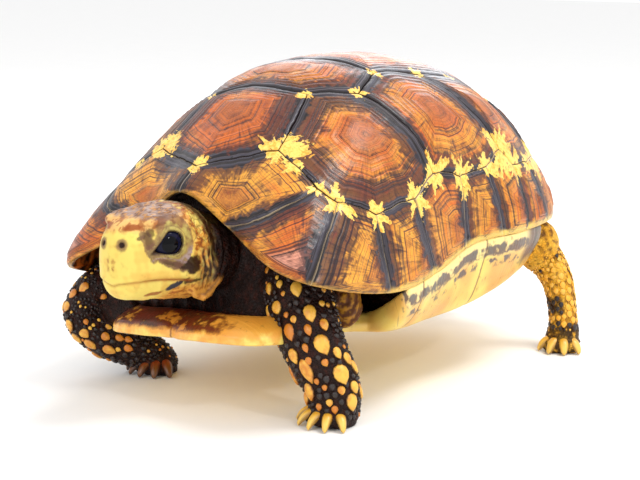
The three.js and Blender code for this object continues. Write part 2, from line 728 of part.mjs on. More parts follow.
function buildHead() {
  let body = headBody();
  for (const side of [-1, 1]) {
    const socket = new THREE.SphereGeometry(EYE.radius + GAP, 12, 8).translate(side * EYE.x, EYE.y, EYE.z);
    body = body.subtract(solid(socket));
    const ball = new THREE.SphereGeometry(EYE.radius, 12, 8).translate(side * EYE.x, EYE.y, EYE.z);
    onHead(add(side > 0 ? "eye_left" : "eye_right", ball, COLOURS.eye, EYE_ROUGHNESS));
    const nostril = new THREE.CylinderGeometry(NOSTRIL.radius, NOSTRIL.radius / 2, NOSTRIL.depth, 8);
    nostril.translate(side * NOSTRIL.x, NOSTRIL.y, NOSTRIL.z);
    body = body.subtract(solid(nostril));
  }
  onHead(add("head", geometryOf(body.subtract(underMouth(0))), COLOURS.face));
  onHead(add("jaw", geometryOf(body.intersect(underMouth(GAP))), COLOURS.face));
}

/** Adds the neck and the tail, and gives back what they take up, with the gap round them. */
function buildNeckAndTail() {
  const neck = prepared(NECK);
  const tail = prepared(TAIL);
  const behindHead = new THREE.BoxGeometry(HEAD_BLOCK, HEAD_BLOCK, HEAD_BLOCK);
  behindHead.translate(0, HEAD_BACK + GAP - HEAD_BLOCK / 2, 0);
  behindHead.rotateZ(radians(HEAD_YAW)).translate(...HEAD_PLACE.toArray());
  add("neck", geometryOf(limbStretch(neck, START, 1).subtract(solid(behindHead))), COLOURS.skin);
  add("tail", geometryOf(limbStretch(tail, START, 1)), COLOURS.hind);
  return [limbStretch(neck, 0, 1, GAP), limbStretch(tail, 0, 1, GAP)];
}

// ---- The animal --------------------------------------------------------------------------------

/** A body with all that the limbs, neck and tail take up cut away. */
function cleared(body, taken) {
  return geometryOf(taken.reduce((rest, part) => rest.subtract(part), body));
}

buildPlates();
buildHead();
const taken = buildLimbs().concat(buildNeckAndTail());
add("plastron", cleared(plastronBody(), taken), COLOURS.plastron, HORN_ROUGHNESS);
add("trunk", cleared(trunkBody(), taken), COLOURS.skin);

const box = new THREE.Box3().setFromObject(tortoise);
tortoise.position.set(-(box.min.x + box.max.x) / 2, -(box.min.y + box.max.y) / 2, -box.min.z);

export default tortoise;
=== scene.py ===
"""Dresses the life-size forest hinge-back tortoise: horn plates, one skin, eyes, claws and leg scales."""

from math import cos, hypot, pi, radians, sin
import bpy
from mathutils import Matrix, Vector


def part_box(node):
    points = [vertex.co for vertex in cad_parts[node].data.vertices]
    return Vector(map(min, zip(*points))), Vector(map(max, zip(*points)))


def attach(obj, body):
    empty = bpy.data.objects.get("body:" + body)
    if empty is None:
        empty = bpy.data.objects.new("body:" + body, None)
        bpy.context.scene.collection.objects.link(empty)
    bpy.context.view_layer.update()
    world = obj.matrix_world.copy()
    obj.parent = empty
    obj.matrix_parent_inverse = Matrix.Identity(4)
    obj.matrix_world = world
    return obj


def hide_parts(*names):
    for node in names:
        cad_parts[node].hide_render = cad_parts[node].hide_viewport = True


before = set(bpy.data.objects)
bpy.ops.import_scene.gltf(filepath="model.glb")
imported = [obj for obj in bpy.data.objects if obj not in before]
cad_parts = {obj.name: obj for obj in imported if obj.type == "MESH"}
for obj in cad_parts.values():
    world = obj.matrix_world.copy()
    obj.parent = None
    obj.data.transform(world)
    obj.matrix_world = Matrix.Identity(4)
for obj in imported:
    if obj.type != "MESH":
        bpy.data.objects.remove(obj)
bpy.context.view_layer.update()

from types import SimpleNamespace

import bpy
import numpy as np
from mathutils import Matrix
from numpy.linalg import norm

bl_info = {
    "name": "Hinge-back Tortoise",
    "version": (1, 0, 0),
    "blender": (4, 5, 0),
    "location": "3D View > Sidebar > Tortoise",
    "description": "Dresses the life-size model of a forest hinge-back tortoise",
    "category": "Object",
}

SEED = 7
SIDES = (("left", 1), ("right", -1))


# ---- The animal's own frame: millimetres, facing -Y, its left side +X ----

HEAD_PLACE = np.array([1.2, -102.5, 60.8])
HEAD_YAW = 4.0
EYE_SIDE = 8.2
EYE_RADIUS = 6.1


def turned(degrees):
    """The matrix of a turn about Z."""
    c, s = cos(radians(degrees)), sin(radians(degrees))
    return np.array([[c, -s, 0], [s, c, 0], [0, 0, 1]])


HEAD_TURN = turned(HEAD_YAW)


# From the animal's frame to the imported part's, found from the left eye.
SHIFT = np.mean(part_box("eye_left"), axis=0) * 1000 - (HEAD_PLACE + HEAD_TURN @ np.array([EYE_SIDE, 0, 0]))


def metres(points):
    """Points of the animal's frame in the part's frame, in metres."""
    return (np.asarray(points, float) + SHIFT) / 1000


def mix(a, b, t):
    return a + (b - a) * t


def smooth(value, start, stop):
    """0 before start, 1 after stop, and a smooth step between. It also runs backwards."""
    t = np.clip((np.asarray(value, float) - start) / (stop - start), 0, 1)
    return t * t * (3 - 2 * t)


def bell(value, middle, width):
    return np.exp(-(((np.asarray(value, float) - middle) / width) ** 2))


def through(xs, ys):
    """A smooth curve through the stations' values, level at both ends."""
    xs, ys = np.array(xs, float), np.array(ys, float)
    slope = np.zeros_like(ys)
    slope[1:-1] = (ys[2:] - ys[:-2]) / (xs[2:] - xs[:-2])

    def value(x):
        x = np.clip(x, xs[0], xs[-1])
        i = np.clip(np.searchsorted(xs, x, side="right") - 1, 0, len(xs) - 2)
        width = xs[i + 1] - xs[i]
        t = (x - xs[i]) / width
        s = 1 - t
        return (ys[i] * s * s * (1 + 2 * t) + ys[i + 1] * t * t * (3 - 2 * t)
                + slope[i] * width * t * s * s - slope[i + 1] * width * t * t * s)

    return value


def dots(a, b):
    """The dot products of two lists of vectors."""
    return np.einsum("ij,ij->i", a, b)


def unit(vectors):
    vectors = np.asarray(vectors, float)
    return vectors / np.maximum(norm(vectors, axis=-1, keepdims=True), 1e-12)


def ripple(points, scale, seed=0):
    """Smooth random values between about -1 and 1 at points, with waves about 1/scale long."""
    points = np.asarray(points, float)
    rng = np.random.RandomState(SEED + seed)
    total = np.zeros(points.shape[:-1])
    for octave in range(3):
        for _ in range(4):
            wave = unit(rng.normal(size=points.shape[-1])) * scale * 2 * pi * 1.9 ** octave
            total += np.sin(points @ wave + rng.uniform(0, 6.28)) * 0.6 ** octave
    return total / 3.2


# ---- Meshes ----

def shown(name, data):
    """A new object in the scene."""
    item = bpy.data.objects.new(name, data)
    bpy.context.scene.collection.objects.link(item)
    return item


def new_mesh(name, points, faces, attributes=None):
    """A smooth mesh object from points in millimetres and lists of faces, turned outwards."""
    points = metres(points)
    groups = [np.asarray(group, np.int64) for group in faces if len(group)]
    volume = 0.0
    for group in groups:
        a = points[group[:, 0]]
        for k in range(1, group.shape[1] - 1):
            volume += np.einsum("ij,ij->", a, np.cross(points[group[:, k]], points[group[:, k + 1]]))
    if volume < 0:
        groups = [group[:, ::-1] for group in groups]
    sizes = np.concatenate([np.full(len(group), group.shape[1]) for group in groups])
    loops = np.concatenate([group.ravel() for group in groups])
    mesh = bpy.data.meshes.new(name)
    mesh.vertices.add(len(points))
    mesh.vertices.foreach_set("co", points.astype(np.float32).ravel())
    mesh.loops.add(len(loops))
    mesh.loops.foreach_set("vertex_index", loops.astype(np.int32))
    mesh.polygons.add(len(sizes))
    mesh.polygons.foreach_set("loop_start", np.concatenate([[0], np.cumsum(sizes)[:-1]]).astype(np.int32))
    mesh.update(calc_edges=True)
    if mesh.validate():
        raise RuntimeError(name + " has faces that Blender had to mend")
    mesh.shade_smooth()
    for key, values in (attributes or {}).items():
        layer = mesh.attributes.new(key, "FLOAT", "POINT")
        layer.data.foreach_set("value", np.asarray(values, np.float32))
    return shown(name, mesh)


def placed(item, material, nodes=()):
    """Gives a finished piece its material, its body and the nodes that it stands for."""
    item.data.materials.clear()
    item.data.materials.append(material)
    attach(item, "root")
    if nodes:
        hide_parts(*nodes)


def ring_faces(rings, count):
    """Faces of a row of rings, with a fan from each end ring to the two points that follow them all."""
    row = np.arange(rings - 1)[:, None] * count
    here = np.arange(count)
    ahead = (here + 1) % count
    quads = np.stack([row + here, row + ahead, row + count + ahead, row + count + here], -1)
    total = rings * count
    last = total - count
    return [quads.reshape(-1, 4), np.stack([np.full(count, total), ahead, here], -1),
            np.stack([np.full(count, total + 1), last + here, last + ahead], -1)]


def merged(parts):
    """Several (points, faces, attributes) as one."""
    points, quads, triangles, attributes, start = [], [], [], {}, 0
    for places, groups, values in parts:
        points.append(places)
        for group in groups:
            (quads if np.shape(group)[1] == 4 else triangles).append(np.asarray(group) + start)
        for key, value in values.items():
            attributes.setdefault(key, []).append(value)
        start += len(places)
    faces = [np.concatenate(group) for group in (quads, triangles) if group]
    return np.concatenate(points), faces, {key: np.concatenate(value) for key, value in attributes.items()}


# ---- Materials ----

def colour(code):
    """A linear colour from two-digit hexadecimal shares of red, green and blue."""
    shares = [int(code[i:i + 2], 16) / 255 for i in (0, 2, 4)]
    return tuple(s / 12.92 if s <= 0.04045 else ((s + 0.055) / 1.055) ** 2.4 for s in shares) + (1.0,)


def operation(kind, swapped=False):
    """A Socket's method that adds one Math node."""
    def method(self, other):
        return self.shader.calculate(kind, *((other, self) if swapped else (self, other)))

    return method


class Socket:
    """A number or colour that a shader works out. Arithmetic on it adds the shader's Math nodes."""

    __add__ = __radd__ = operation("ADD")
    __sub__ = operation("SUBTRACT")
    __rsub__ = operation("SUBTRACT", swapped=True)
    __mul__ = __rmul__ = operation("MULTIPLY")
    most = operation("MAXIMUM")

    def __init__(self, shader, link):
        self.shader = shader
        self.link = link

    def size(self):
        """The number without its sign."""
        return self.shader.calculate("ABSOLUTE", self)

    def step(self, start, stop):
        """A smooth step from 0 at start to 1 at stop, in either direction."""
        inputs = {"Value": self, "From Min": start, "From Max": stop}
        return self.shader.add("ShaderNodeMapRange", {"interpolation_type": "SMOOTHSTEP"}, inputs)


class Shader:
    """A material and the ways its nodes are added."""

    def __init__(self, name):
        self.material = bpy.data.materials.new(name)
        self.material.use_nodes = True
        self.tree = self.material.node_tree
        self.tree.nodes.clear()
        self.place = self.add("ShaderNodeTexCoord", output="Object")

    def add(self, kind, settings=None, inputs=None, output=0):
        """One node with its settings, then the values or links of its sockets."""
        node = self.tree.nodes.new(kind)
        for key, value in (settings or {}).items():
            setattr(node, key, value)
        for key, value in (inputs or {}).items():
            if isinstance(value, Socket):
                self.tree.links.new(value.link, node.inputs[key])
            else:
                node.inputs[key].default_value = value
        return Socket(self, node.outputs[output]) if len(node.outputs) else None

    def calculate(self, operation, *values):
        return self.add("ShaderNodeMath", {"operation": operation}, dict(enumerate(values)))

    def attribute(self, name):
        return self.add("ShaderNodeAttribute", {"attribute_name": name}, output="Fac")

    def attributes(self, names):
        return [self.attribute(name) for name in names.split()]

    def noise(self, scale, detail=3.0, vector=None):
        """Noise about 0 on the object's own metres: a scale of 1000 has grains of a millimetre."""
        values = {"Vector": vector or self.place, "Scale": scale, "Detail": detail}
        return self.add("ShaderNodeTexNoise", None, values) - 0.5

    def lines(self, along, detail=3.0):
        """Noise about 0 along one number."""
        return self.add("ShaderNodeTexNoise", {"noise_dimensions": "1D"},
                        {"W": along, "Scale": 1.0, "Detail": detail, "Roughness": 0.6}) - 0.5

    def cells(self, scale, feature="F1", vector=None):
        values = {"Vector": vector or self.place, "Scale": scale}
        return self.add("ShaderNodeTexVoronoi", {"feature": feature}, values)

    def vector(self, x, y, z=0.0):
        return self.add("ShaderNodeCombineXYZ", None, {0: x, 1: y, 2: z})

    def shifted(self, amount, scale):
        """The object's place pushed about by noise, to make the edges of a pattern ragged."""
        push = self.add("ShaderNodeTexNoise", None,
                        {"Vector": self.place, "Scale": scale, "Detail": 2.0}, output="Color")
        scaled = self.add("ShaderNodeVectorMath", {"operation": "SCALE"}, {0: push, "Scale": amount})
        return self.add("ShaderNodeVectorMath", {"operation": "ADD"}, {0: self.place, 1: scaled})

    def mix(self, share, first, second):
        """Two colours mixed by a share."""
        settings = {"data_type": "RGBA", "clamp_factor": True}
        return self.add("ShaderNodeMix", settings, {0: share, 6: first, 7: second}, output=2)

    def finish(self, base, roughness, height=None, depth=0.0002, strength=1.0, **constants):
        """The surface itself, with a bump from a height and the shader's own constants."""
        inputs = {"Base Color": base, "Roughness": roughness}
        if height is not None:
            inputs["Normal"] = self.add("ShaderNodeBump", None,
                                        {"Height": height, "Distance": depth, "Strength": strength})
        inputs.update({key.replace("_", " "): value for key, value in constants.items()})
        surface = self.add("ShaderNodeBsdfPrincipled", None, inputs)
        self.add("ShaderNodeOutputMaterial", None, {"Surface": surface})
        return self.material


# ---- The shell's surface ----

SHELL_TOP = 114.4
SHELL_CENTRE_Y = -2.9
DOME_FRONT, DOME_REAR, DOME_SIDE, DOME_LEVEL, DOME_SQUARE = 76.5, 86.0, 64.0, 57.8, 2.3
SPREAD = (1.03, 0.865, 0.78)  # in front, at the side, at the rear
FALL = (1.3, 1.13, 0.97)
margin_angles = [0, 14, 32, 52, 74, 95, 120, 150, 180]
margin_reach = through(margin_angles, [81.7, 82.4, 100, 78.2, 62.7, 60.4, 72, 91, 90.5])
margin_height = through(margin_angles, [69.7, 58.1, 43.1, 35.5, 39.2, 46.4, 48.4, 50, 44.9])
BODY_ROLL, BODY_PITCH = -4.3, -2.8
BODY_PIVOT = np.array([0, 0, 60.0])
PLATE_BULGE = 0.9
PLATE_DEPTH, EDGE_DEPTH = 2.6, 1.9
SEAM = 0.1
ON_EDGE = 0.999  # places on the disc past this are on the shell's free edge
FAR = 60.0  # a distance for points with no free edge near them
STAR_CORE, STAR_LOBES = 0.55, 13
BATCH = 8192  # points measured at a time


def tilt_matrix():
    """The walking body's roll and pitch."""
    a, b = radians(BODY_ROLL), radians(BODY_PITCH)
    roll = np.array([[cos(a), 0, sin(a)], [0, 1, 0], [-sin(a), 0, cos(a)]])
    pitch = np.array([[1, 0, 0], [0, cos(b), -sin(b)], [0, sin(b), cos(b)]])
    return pitch @ roll


TILT = tilt_matrix()


def tilted(points):
    return (points - BODY_PIVOT) @ TILT.T + BODY_PIVOT


def upright(points):
    """The reverse of tilted."""
    return (points - BODY_PIVOT) @ TILT + BODY_PIVOT


def around(angle, values):
    front, side, rear = values
    cosine = np.cos(angle)
    ahead = np.maximum(cosine, 0) ** 2
    behind = np.maximum(-cosine, 0) ** 2
    return front * ahead + rear * behind + side * (1 - ahead - behind)


def shell_face(p, q):
    """The shell's smooth outer face over the disc, before the body is tilted."""
    rho = np.hypot(p, q)
    angle = np.arctan2(p, -q)
    degrees = np.degrees(np.abs(angle))
    cosine = np.cos(angle)
    length = np.where(cosine > 0, DOME_FRONT, DOME_REAR)
    total = np.abs(cosine / length) ** DOME_SQUARE + np.abs(np.sin(angle) / DOME_SIDE) ** DOME_SQUARE
    rim = smooth(rho, 0.5, 1)
    reach = mix(total ** (-1 / DOME_SQUARE), margin_reach(degrees), rim)
    base = mix(DOME_LEVEL, margin_height(degrees), rim)
    bend = rho * pi / 2
    out = np.maximum(np.sin(np.minimum(bend, pi - bend)), 1e-9) ** around(angle, SPREAD)
    up = np.sign(np.cos(bend)) * np.abs(np.cos(bend)) ** around(angle, FALL)
    return np.stack([reach * out * np.sin(angle), SHELL_CENTRE_Y - reach * out * cosine,
                     base + (SHELL_TOP - base) * up], -1)


def shell_normal(p, q):
    step = 1e-3
    along_p = shell_face(p + step, q) - shell_face(p - step, q)
    along_q = shell_face(p, q + step) - shell_face(p, q - step)
    return -unit(np.cross(along_q, along_p))


def on_shell(p, q, lift):
    """A point over the shell's face by a lift, on the tilted body."""
    return tilted(shell_face(p, q) + shell_normal(p, q) * np.asarray(lift)[..., None])


def edge(degrees):
    return (sin(radians(degrees)), -cos(radians(degrees)))


# Where three plates of the left side meet on the disc, and how far the yellow star reaches there.
MEET = {
    "v1_front": ((0, -0.754), 4), "v1_c1_m1": ((0.26, -0.584), 8.5), "v1_v2_c1": ((0.2, -0.35), 3.2),
    "v2_c1_c2": ((0.32, -0.26), 3.6), "v2_v3_c2": ((0.28, -0.115), 3.4), "v3_c2_c3": ((0.306, 0.086), 4),
    "v3_v4_c3": ((0.265, 0.25), 4), "v4_c3_c4": ((0.29, 0.41), 5), "v4_v5_c4": ((0.18, 0.545), 4.5),
    "c1_m1_middle": ((0.34, -0.5945), 4.4), "c1_m1_m2": ((0.421, -0.605), 3.8),
    "c1_m2_m3": ((0.489, -0.589), 6), "c1_m3_m4": ((0.607, -0.508), 5.2),
    "c1_m4_m5": ((0.706, -0.338), 6), "c1_c2_m5": ((0.712, -0.189), 7.5),
    "c2_m5_m6": ((0.771, -0.008), 7), "c2_m6_m7": ((0.73, 0.2), 6), "c2_c3_m7": ((0.641, 0.307), 11),
    "c3_m7_m8": ((0.655, 0.39), 7), "c3_m8_m9": ((0.585, 0.51), 6.5), "c3_c4_m9": ((0.515, 0.575), 9),
    "c4_m9_m10": ((0.455, 0.63), 6), "c4_m10_m11": ((0.34, 0.7), 6), "v5_c4_m11": ((0.245, 0.75), 7),
    "v5_m11_rear": ((0.165, 0.79), 5),
    "front": (edge(0), 0), "m1_m2": (edge(12.8), 0), "m2_m3": (edge(34.1), 0), "m3_m4": (edge(52.6), 0),
    "m4_m5": (edge(71), 0), "m5_m6": (edge(90.8), 0), "m6_m7": (edge(108.4), 0),
    "m7_m8": (edge(121), 0), "m8_m9": (edge(133), 0), "m9_m10": (edge(145), 0),
    "m10_m11": (edge(157), 0), "m11_rear": (edge(168), 0),
}

# A plate: its corners from front to rear, for each side the widths in mm of the purple and of the
# black horn inside it, the middle of its growth rings on the disc, and its hue from orange to yellow.
VERTEBRALS = [
    ("v1_front v1_c1_m1 v1_v2_c1", ((7, 4.5), (12, 2.4), (5, 2.6)), (0, -0.47), 0.1),
    ("v1_v2_c1 v2_c1_c2 v2_v3_c2", ((9, 4.5), (9, 4.5), (8, 4)), (0, -0.235), 0.3),
    ("v2_v3_c2 v3_c2_c3 v3_v4_c3", ((9, 4.5), (9, 4.5), (8, 4)), (0, 0.07), 0.2),
    ("v3_v4_c3 v4_c3_c4 v4_v5_c4", ((8, 4), (8, 4), (7, 3)), (0, 0.37), 0.2),
    ("v4_v5_c4 v5_c4_m11 v5_m11_rear", ((8, 4), (7, 2.5), (6, 2)), (0, 0.63), 0.2),
]
COSTALS = [
    ("v1_v2_c1 v1_c1_m1 c1_m1_middle c1_m1_m2 c1_m2_m3 c1_m3_m4 c1_m4_m5 c1_c2_m5 v2_c1_c2",
     ((12, 3.4), (13, 2.6), (13, 2.6), (13, 2.4), (12, 2.6), (12, 2.6), (11, 3), (12, 7), (12, 4)),
     (0.46, -0.39), 0.42),
    ("v2_c1_c2 c1_c2_m5 c2_m5_m6 c2_m6_m7 c2_c3_m7 v3_c2_c3 v2_v3_c2",
     ((4, 2), (8, 2.4), (8, 2.4), (8, 2.6), (9, 5.5), (9, 5), (9, 5)), (0.53, -0.05), 0.34),
    ("v3_c2_c3 c2_c3_m7 c3_m7_m8 c3_m8_m9 c3_c4_m9 v4_c3_c4 v3_v4_c3",
     ((5, 2.6), (8, 2.4), (8, 2.4), (8, 2.4), (8, 5), (8, 5), (8, 5)), (0.455, 0.265), 0.28),
    ("v4_c3_c4 c3_c4_m9 c4_m9_m10 c4_m10_m11 v5_c4_m11 v4_v5_c4",
     ((5, 2.6), (7, 2.4), (7, 2.4), (7, 2.4), (8, 4), (8, 4)), (0.355, 0.5), 0.28),
]
MARGINALS = [
    ("front m1_m2 c1_m1_m2 c1_m1_middle v1_c1_m1 v1_front",
     ((0, 0), (4.5, 3), (3, 1), (1.5, 0.4), (9, 5), (9, 3)), 0.75),
    ("m1_m2 m2_m3 c1_m2_m3 c1_m1_m2", ((0, 0), (8, 4.6), (4, 0.8), (8, 2.6)), 0.3),
    ("m2_m3 m3_m4 c1_m3_m4 c1_m2_m3", ((0, 0), (7, 4.6), (3, 0.6), (12, 1.2)), 0.8),
    ("m3_m4 m4_m5 c1_m4_m5 c1_m3_m4", ((0, 0), (6, 4.6), (6, 2.6), (6.5, 3)), 0.55),
    ("m4_m5 m5_m6 c2_m5_m6 c1_c2_m5 c1_m4_m5", ((0, 0), (5, 3.8), (5, 2.2), (5, 2.2), (5.5, 2.6)), 0.42),
    ("m5_m6 m6_m7 c2_m6_m7 c2_m5_m6", ((0, 0), (5, 3.6), (5, 2.2), (5, 2.2)), 0.42),
    ("m6_m7 m7_m8 c3_m7_m8 c2_c3_m7 c2_m6_m7", ((0, 0), (4.6, 3.4), (4, 1.8), (4, 1.8), (5, 2)), 0.42),
    ("m7_m8 m8_m9 c3_m8_m9 c3_m7_m8", ((0, 0), (4.6, 3.2), (4, 1.8), (5, 2)), 0.42),
    ("m8_m9 m9_m10 c4_m9_m10 c3_c4_m9 c3_m8_m9", ((0, 0), (4.6, 3.2), (4, 1.8), (4, 1.8), (5, 2)), 0.42),
    ("m9_m10 m10_m11 c4_m10_m11 c4_m9_m10", ((0, 0), (4.6, 3.2), (4, 1.8), (5, 2)), 0.42),
    ("m10_m11 m11_rear v5_m11_rear v5_c4_m11 c4_m10_m11",
     ((0, 0), (4.6, 3.2), (4, 1.8), (4, 1.8), (5, 2)), 0.42),
]


def wander(p, q):
    """Small shared shifts on the disc that keep the seams from being straight."""
    calm = 1 - smooth(np.hypot(p, q), 0.86, 0.97)
    places = np.stack([p, q], -1)
    shift = np.stack([ripple(places, 3.2, 11), ripple(places, 3.2, 12)], -1) * 0.0055
    shift += np.stack([ripple(places, 14, 13), ripple(places, 14, 14)], -1) * 0.0016
    return p + shift[..., 0] * calm * np.tanh(np.abs(p) * 40), q + shift[..., 1] * calm


def star_mask(places, corners):
    """Yellow spiked stars at the corners: 1 inside, falling to 0 outside."""
    mask = np.zeros(len(places))
    for (p, q), radius in corners:
        if radius == 0:
            continue
        at = on_shell(*wander(np.array(p), np.array(q)), 0.0)
        rng = np.random.RandomState(int(abs(p) * 997 + abs(q) * 577) + SEED)
        offset = places - at
        angle = np.arctan2(offset[:, 2] - offset[:, 1] * 0.3, offset[:, 0] * 0.7 + offset[:, 1])
        reach = np.full(len(places), STAR_CORE)
        for _ in range(STAR_LOBES):
            turn = np.mod(angle - rng.uniform(0, 6.28) + pi, 2 * pi) - pi
            lobe = mix(STAR_CORE, rng.uniform(0.7, 1.35), bell(turn, 0, rng.uniform(0.09, 0.26)))
            reach = np.maximum(reach, lobe)
        distance = norm(offset, axis=1) / (radius * reach)
        mask = np.maximum(mask, smooth(distance, 1.4, 0.5))
    return mask


def scute(corners, bands, areola, hue, ident, spacing=0.55, step=0.7, leaf=False):
    """One horn plate as rings that grow out from its areola, with what its marks need at each point."""
    points, sides = [], []
    for i, ((p, q), _) in enumerate(corners):
        (next_p, next_q), _ = corners[(i + 1) % len(corners)]
        ends = shell_face(np.array([p, next_p]), np.array([q, next_q]))
        count = max(4, int(norm(ends[1] - ends[0]) / spacing))
        t = np.arange(count) / count
        side = np.stack([mix(p, next_p, t), mix(q, next_q, t)], -1)
        if hypot(p, q) > ON_EDGE and hypot(next_p, next_q) > ON_EDGE:
            side /= norm(side, axis=1, keepdims=True)
        points.append(side)
        sides += [i] * count
    outline = np.concatenate(points)
    outline = np.stack(wander(outline[:, 0], outline[:, 1]), -1)
    sides = np.array(sides)
    centre = np.array(areola, float)
    rim = on_shell(outline[:, 0], outline[:, 1], np.zeros(len(outline)))
    span = norm(rim - on_shell(centre[0], centre[1], 0.0), axis=1)
    rings = max(8, int(span.max() / step))
    shares = 1 - (1 - np.linspace(0, 1, rings + 1)[1:]) ** 1.15
    s = shares[:, None] * (1 - SEAM / span)[None, :]
    p = mix(centre[0], outline[None, :, 0], s)
    q = mix(centre[1], outline[None, :, 1], s)
    base = on_shell(p, q, np.zeros(s.shape)).reshape(-1, 3)
    wobble = 0.22 * ripple(base / 10, 2.2, ident) + 0.1 * ripple(base / 10, 6.0, ident + 1)
    nearest, seam = np.full((2, len(base)), 1e9)
    dark, black = np.zeros((2, len(base)))
    free = np.full(len(base), FAR)
    for k, (purple_width, black_width) in enumerate(bands):
        line = rim[sides == k]
        line = np.concatenate([line, rim[[(np.nonzero(sides == k)[0][-1] + 1) % len(rim)]]])
        toward, along = np.zeros(len(base)), np.zeros(len(base))
        for start in range(0, len(base), BATCH):
            batch = slice(start, start + BATCH)
            gap = ((base[batch, None, :] - line) ** 2).sum(-1)
            toward[batch] = np.sqrt(gap.min(1))
            along[batch] = gap.argmin(1) / (len(line) - 1)
        nearest = np.minimum(nearest, toward)
        if (np.hypot(*outline[sides == k].T) > ON_EDGE).all():
            free = toward
            continue
        seam = np.minimum(seam, toward)
        width = 1.0
        if leaf and black_width > 2.9:
            width = 0.35 + 0.85 * np.sin(pi * np.clip(along, 0, 1)) ** 0.8
        dark = np.maximum(dark, 1 - toward / (purple_width * width * (1 + wobble)))
        black = np.maximum(black, 1 - toward / (black_width * width * (1 + 1.4 * wobble)))
    grow = np.repeat(shares, len(outline))
    border = (1 - grow) * span.mean()
    lift = PLATE_BULGE * (1 - grow ** 2)
    lift -= 0.5 * np.clip(1 - nearest, 0, 1) ** 2
    broad_side = np.tile(smooth(span / span.mean(), 0.4, 1.0), rings)
    ridge = (0.04 if leaf else 0.1) * broad_side * smooth(grow, 0.3, 0.45) * smooth(nearest, 0.4, 1.6)
    lift += ridge * np.sin(border * 2.4 + ident)
    lift += 0.25 * smooth(grow, 0.36, 0.26) + 0.2 * ripple(base / 10, 0.5, ident)
    p, q = p.reshape(-1), q.reshape(-1)
    top = on_shell(p, q, lift)
    last = slice(len(top) - len(outline), None)
    depth = mix(PLATE_DEPTH, EDGE_DEPTH, smooth(np.hypot(p[last], q[last]), 0.86, 1))
    under = on_shell(p[last], q[last], -depth)
    inner_p, inner_q = mix(centre[0], p[last], 0.5), mix(centre[1], q[last], 0.5)
    inner = on_shell(inner_p, inner_q, np.full(len(inner_p), -PLATE_DEPTH))
    middles = on_shell(np.full(2, centre[0]), np.full(2, centre[1]),
                       np.array([lift[0] + 0.02, -PLATE_DEPTH]))
    half = on_shell(p[last], q[last], mix(lift[last], -depth, 0.45))
    places = np.concatenate([top, half, under, inner, middles])
    n = len(outline)
    arc = np.concatenate([[0], np.cumsum(norm(np.diff(rim, axis=0), axis=1))])
    middle = np.zeros(3 * n + 2)  # 1 at the top's middle, 0 at the points below the top
    middle[-2] = 1.0
    values = {
        "growth": (grow, 1 - middle), "seam": (seam, 20 * middle), "dark": (dark, 0 * middle),
        "black": (black, 0 * middle), "turn": (np.tile(arc, rings), 0 * middle),
        "star": (star_mask(base, corners), 0 * middle), "rim": (border, span.mean() * middle),
        "free": (free, np.tile(free[last], 3), [FAR, FAR]),
        "inside": (np.zeros(len(top) + n), np.ones(2 * n), [0.0, 1.0]),
        "front": (smooth(places[:, 1], -40, -62),), "hue": (np.full(len(places), hue),),
        "ident": (np.full(len(places), float(ident)),),
    }
    return places, ring_faces(rings + 3, n), {key: np.concatenate(row) for key, row in values.items()}


def corners_of(names, mirror=False):
    points = [MEET[name] for name in names.split()]
    return [((-p, q), radius) for (p, q), radius in points] if mirror else points


def vertebral(i):
    names, bands, areola, hue = VERTEBRALS[i]
    left = corners_of(names)
    right = [((-p, q), radius) for (p, q), radius in reversed(left) if p > 0]
    widths = (bands[0], bands[1], bands[2], bands[1], bands[0])
    if i:
        widths += ((6, 3),)
    return scute(left + right, widths, areola, hue, i + 1)


def costal(i, side):
    names, bands, (p, q), hue = COSTALS[i]
    return scute(corners_of(names, side < 0), bands, (side * p, q), hue, 10 + i + (5 if side < 0 else 0))


def marginal(i, side):
    names, bands, hue = MARGINALS[i]
    corners = corners_of(names, side < 0)
    middle = np.mean([place for place, _ in corners], axis=0)
    behind = np.array(corners[1][0]) * 0.965
    areola = mix(behind, middle, 0.3 if i else 0.6)
    return scute(corners, bands, areola, hue, 20 + i + (12 if side < 0 else 0), 0.6, 0.55, leaf=True)


def tail_plate():
    left, inner = MEET["m11_rear"][0], MEET["v5_m11_rear"]
    corners = [(left, 0), (edge(180), 0), ((-left[0], left[1]), 0),
               ((-inner[0][0], inner[0][1]), inner[1]), inner]
    bands = ((0, 0), (0, 0), (4.6, 3.2), (5, 2), (4.6, 3.2))
    return scute(corners, bands, (0, 0.93), 0.42, 45, 0.6, 0.55)


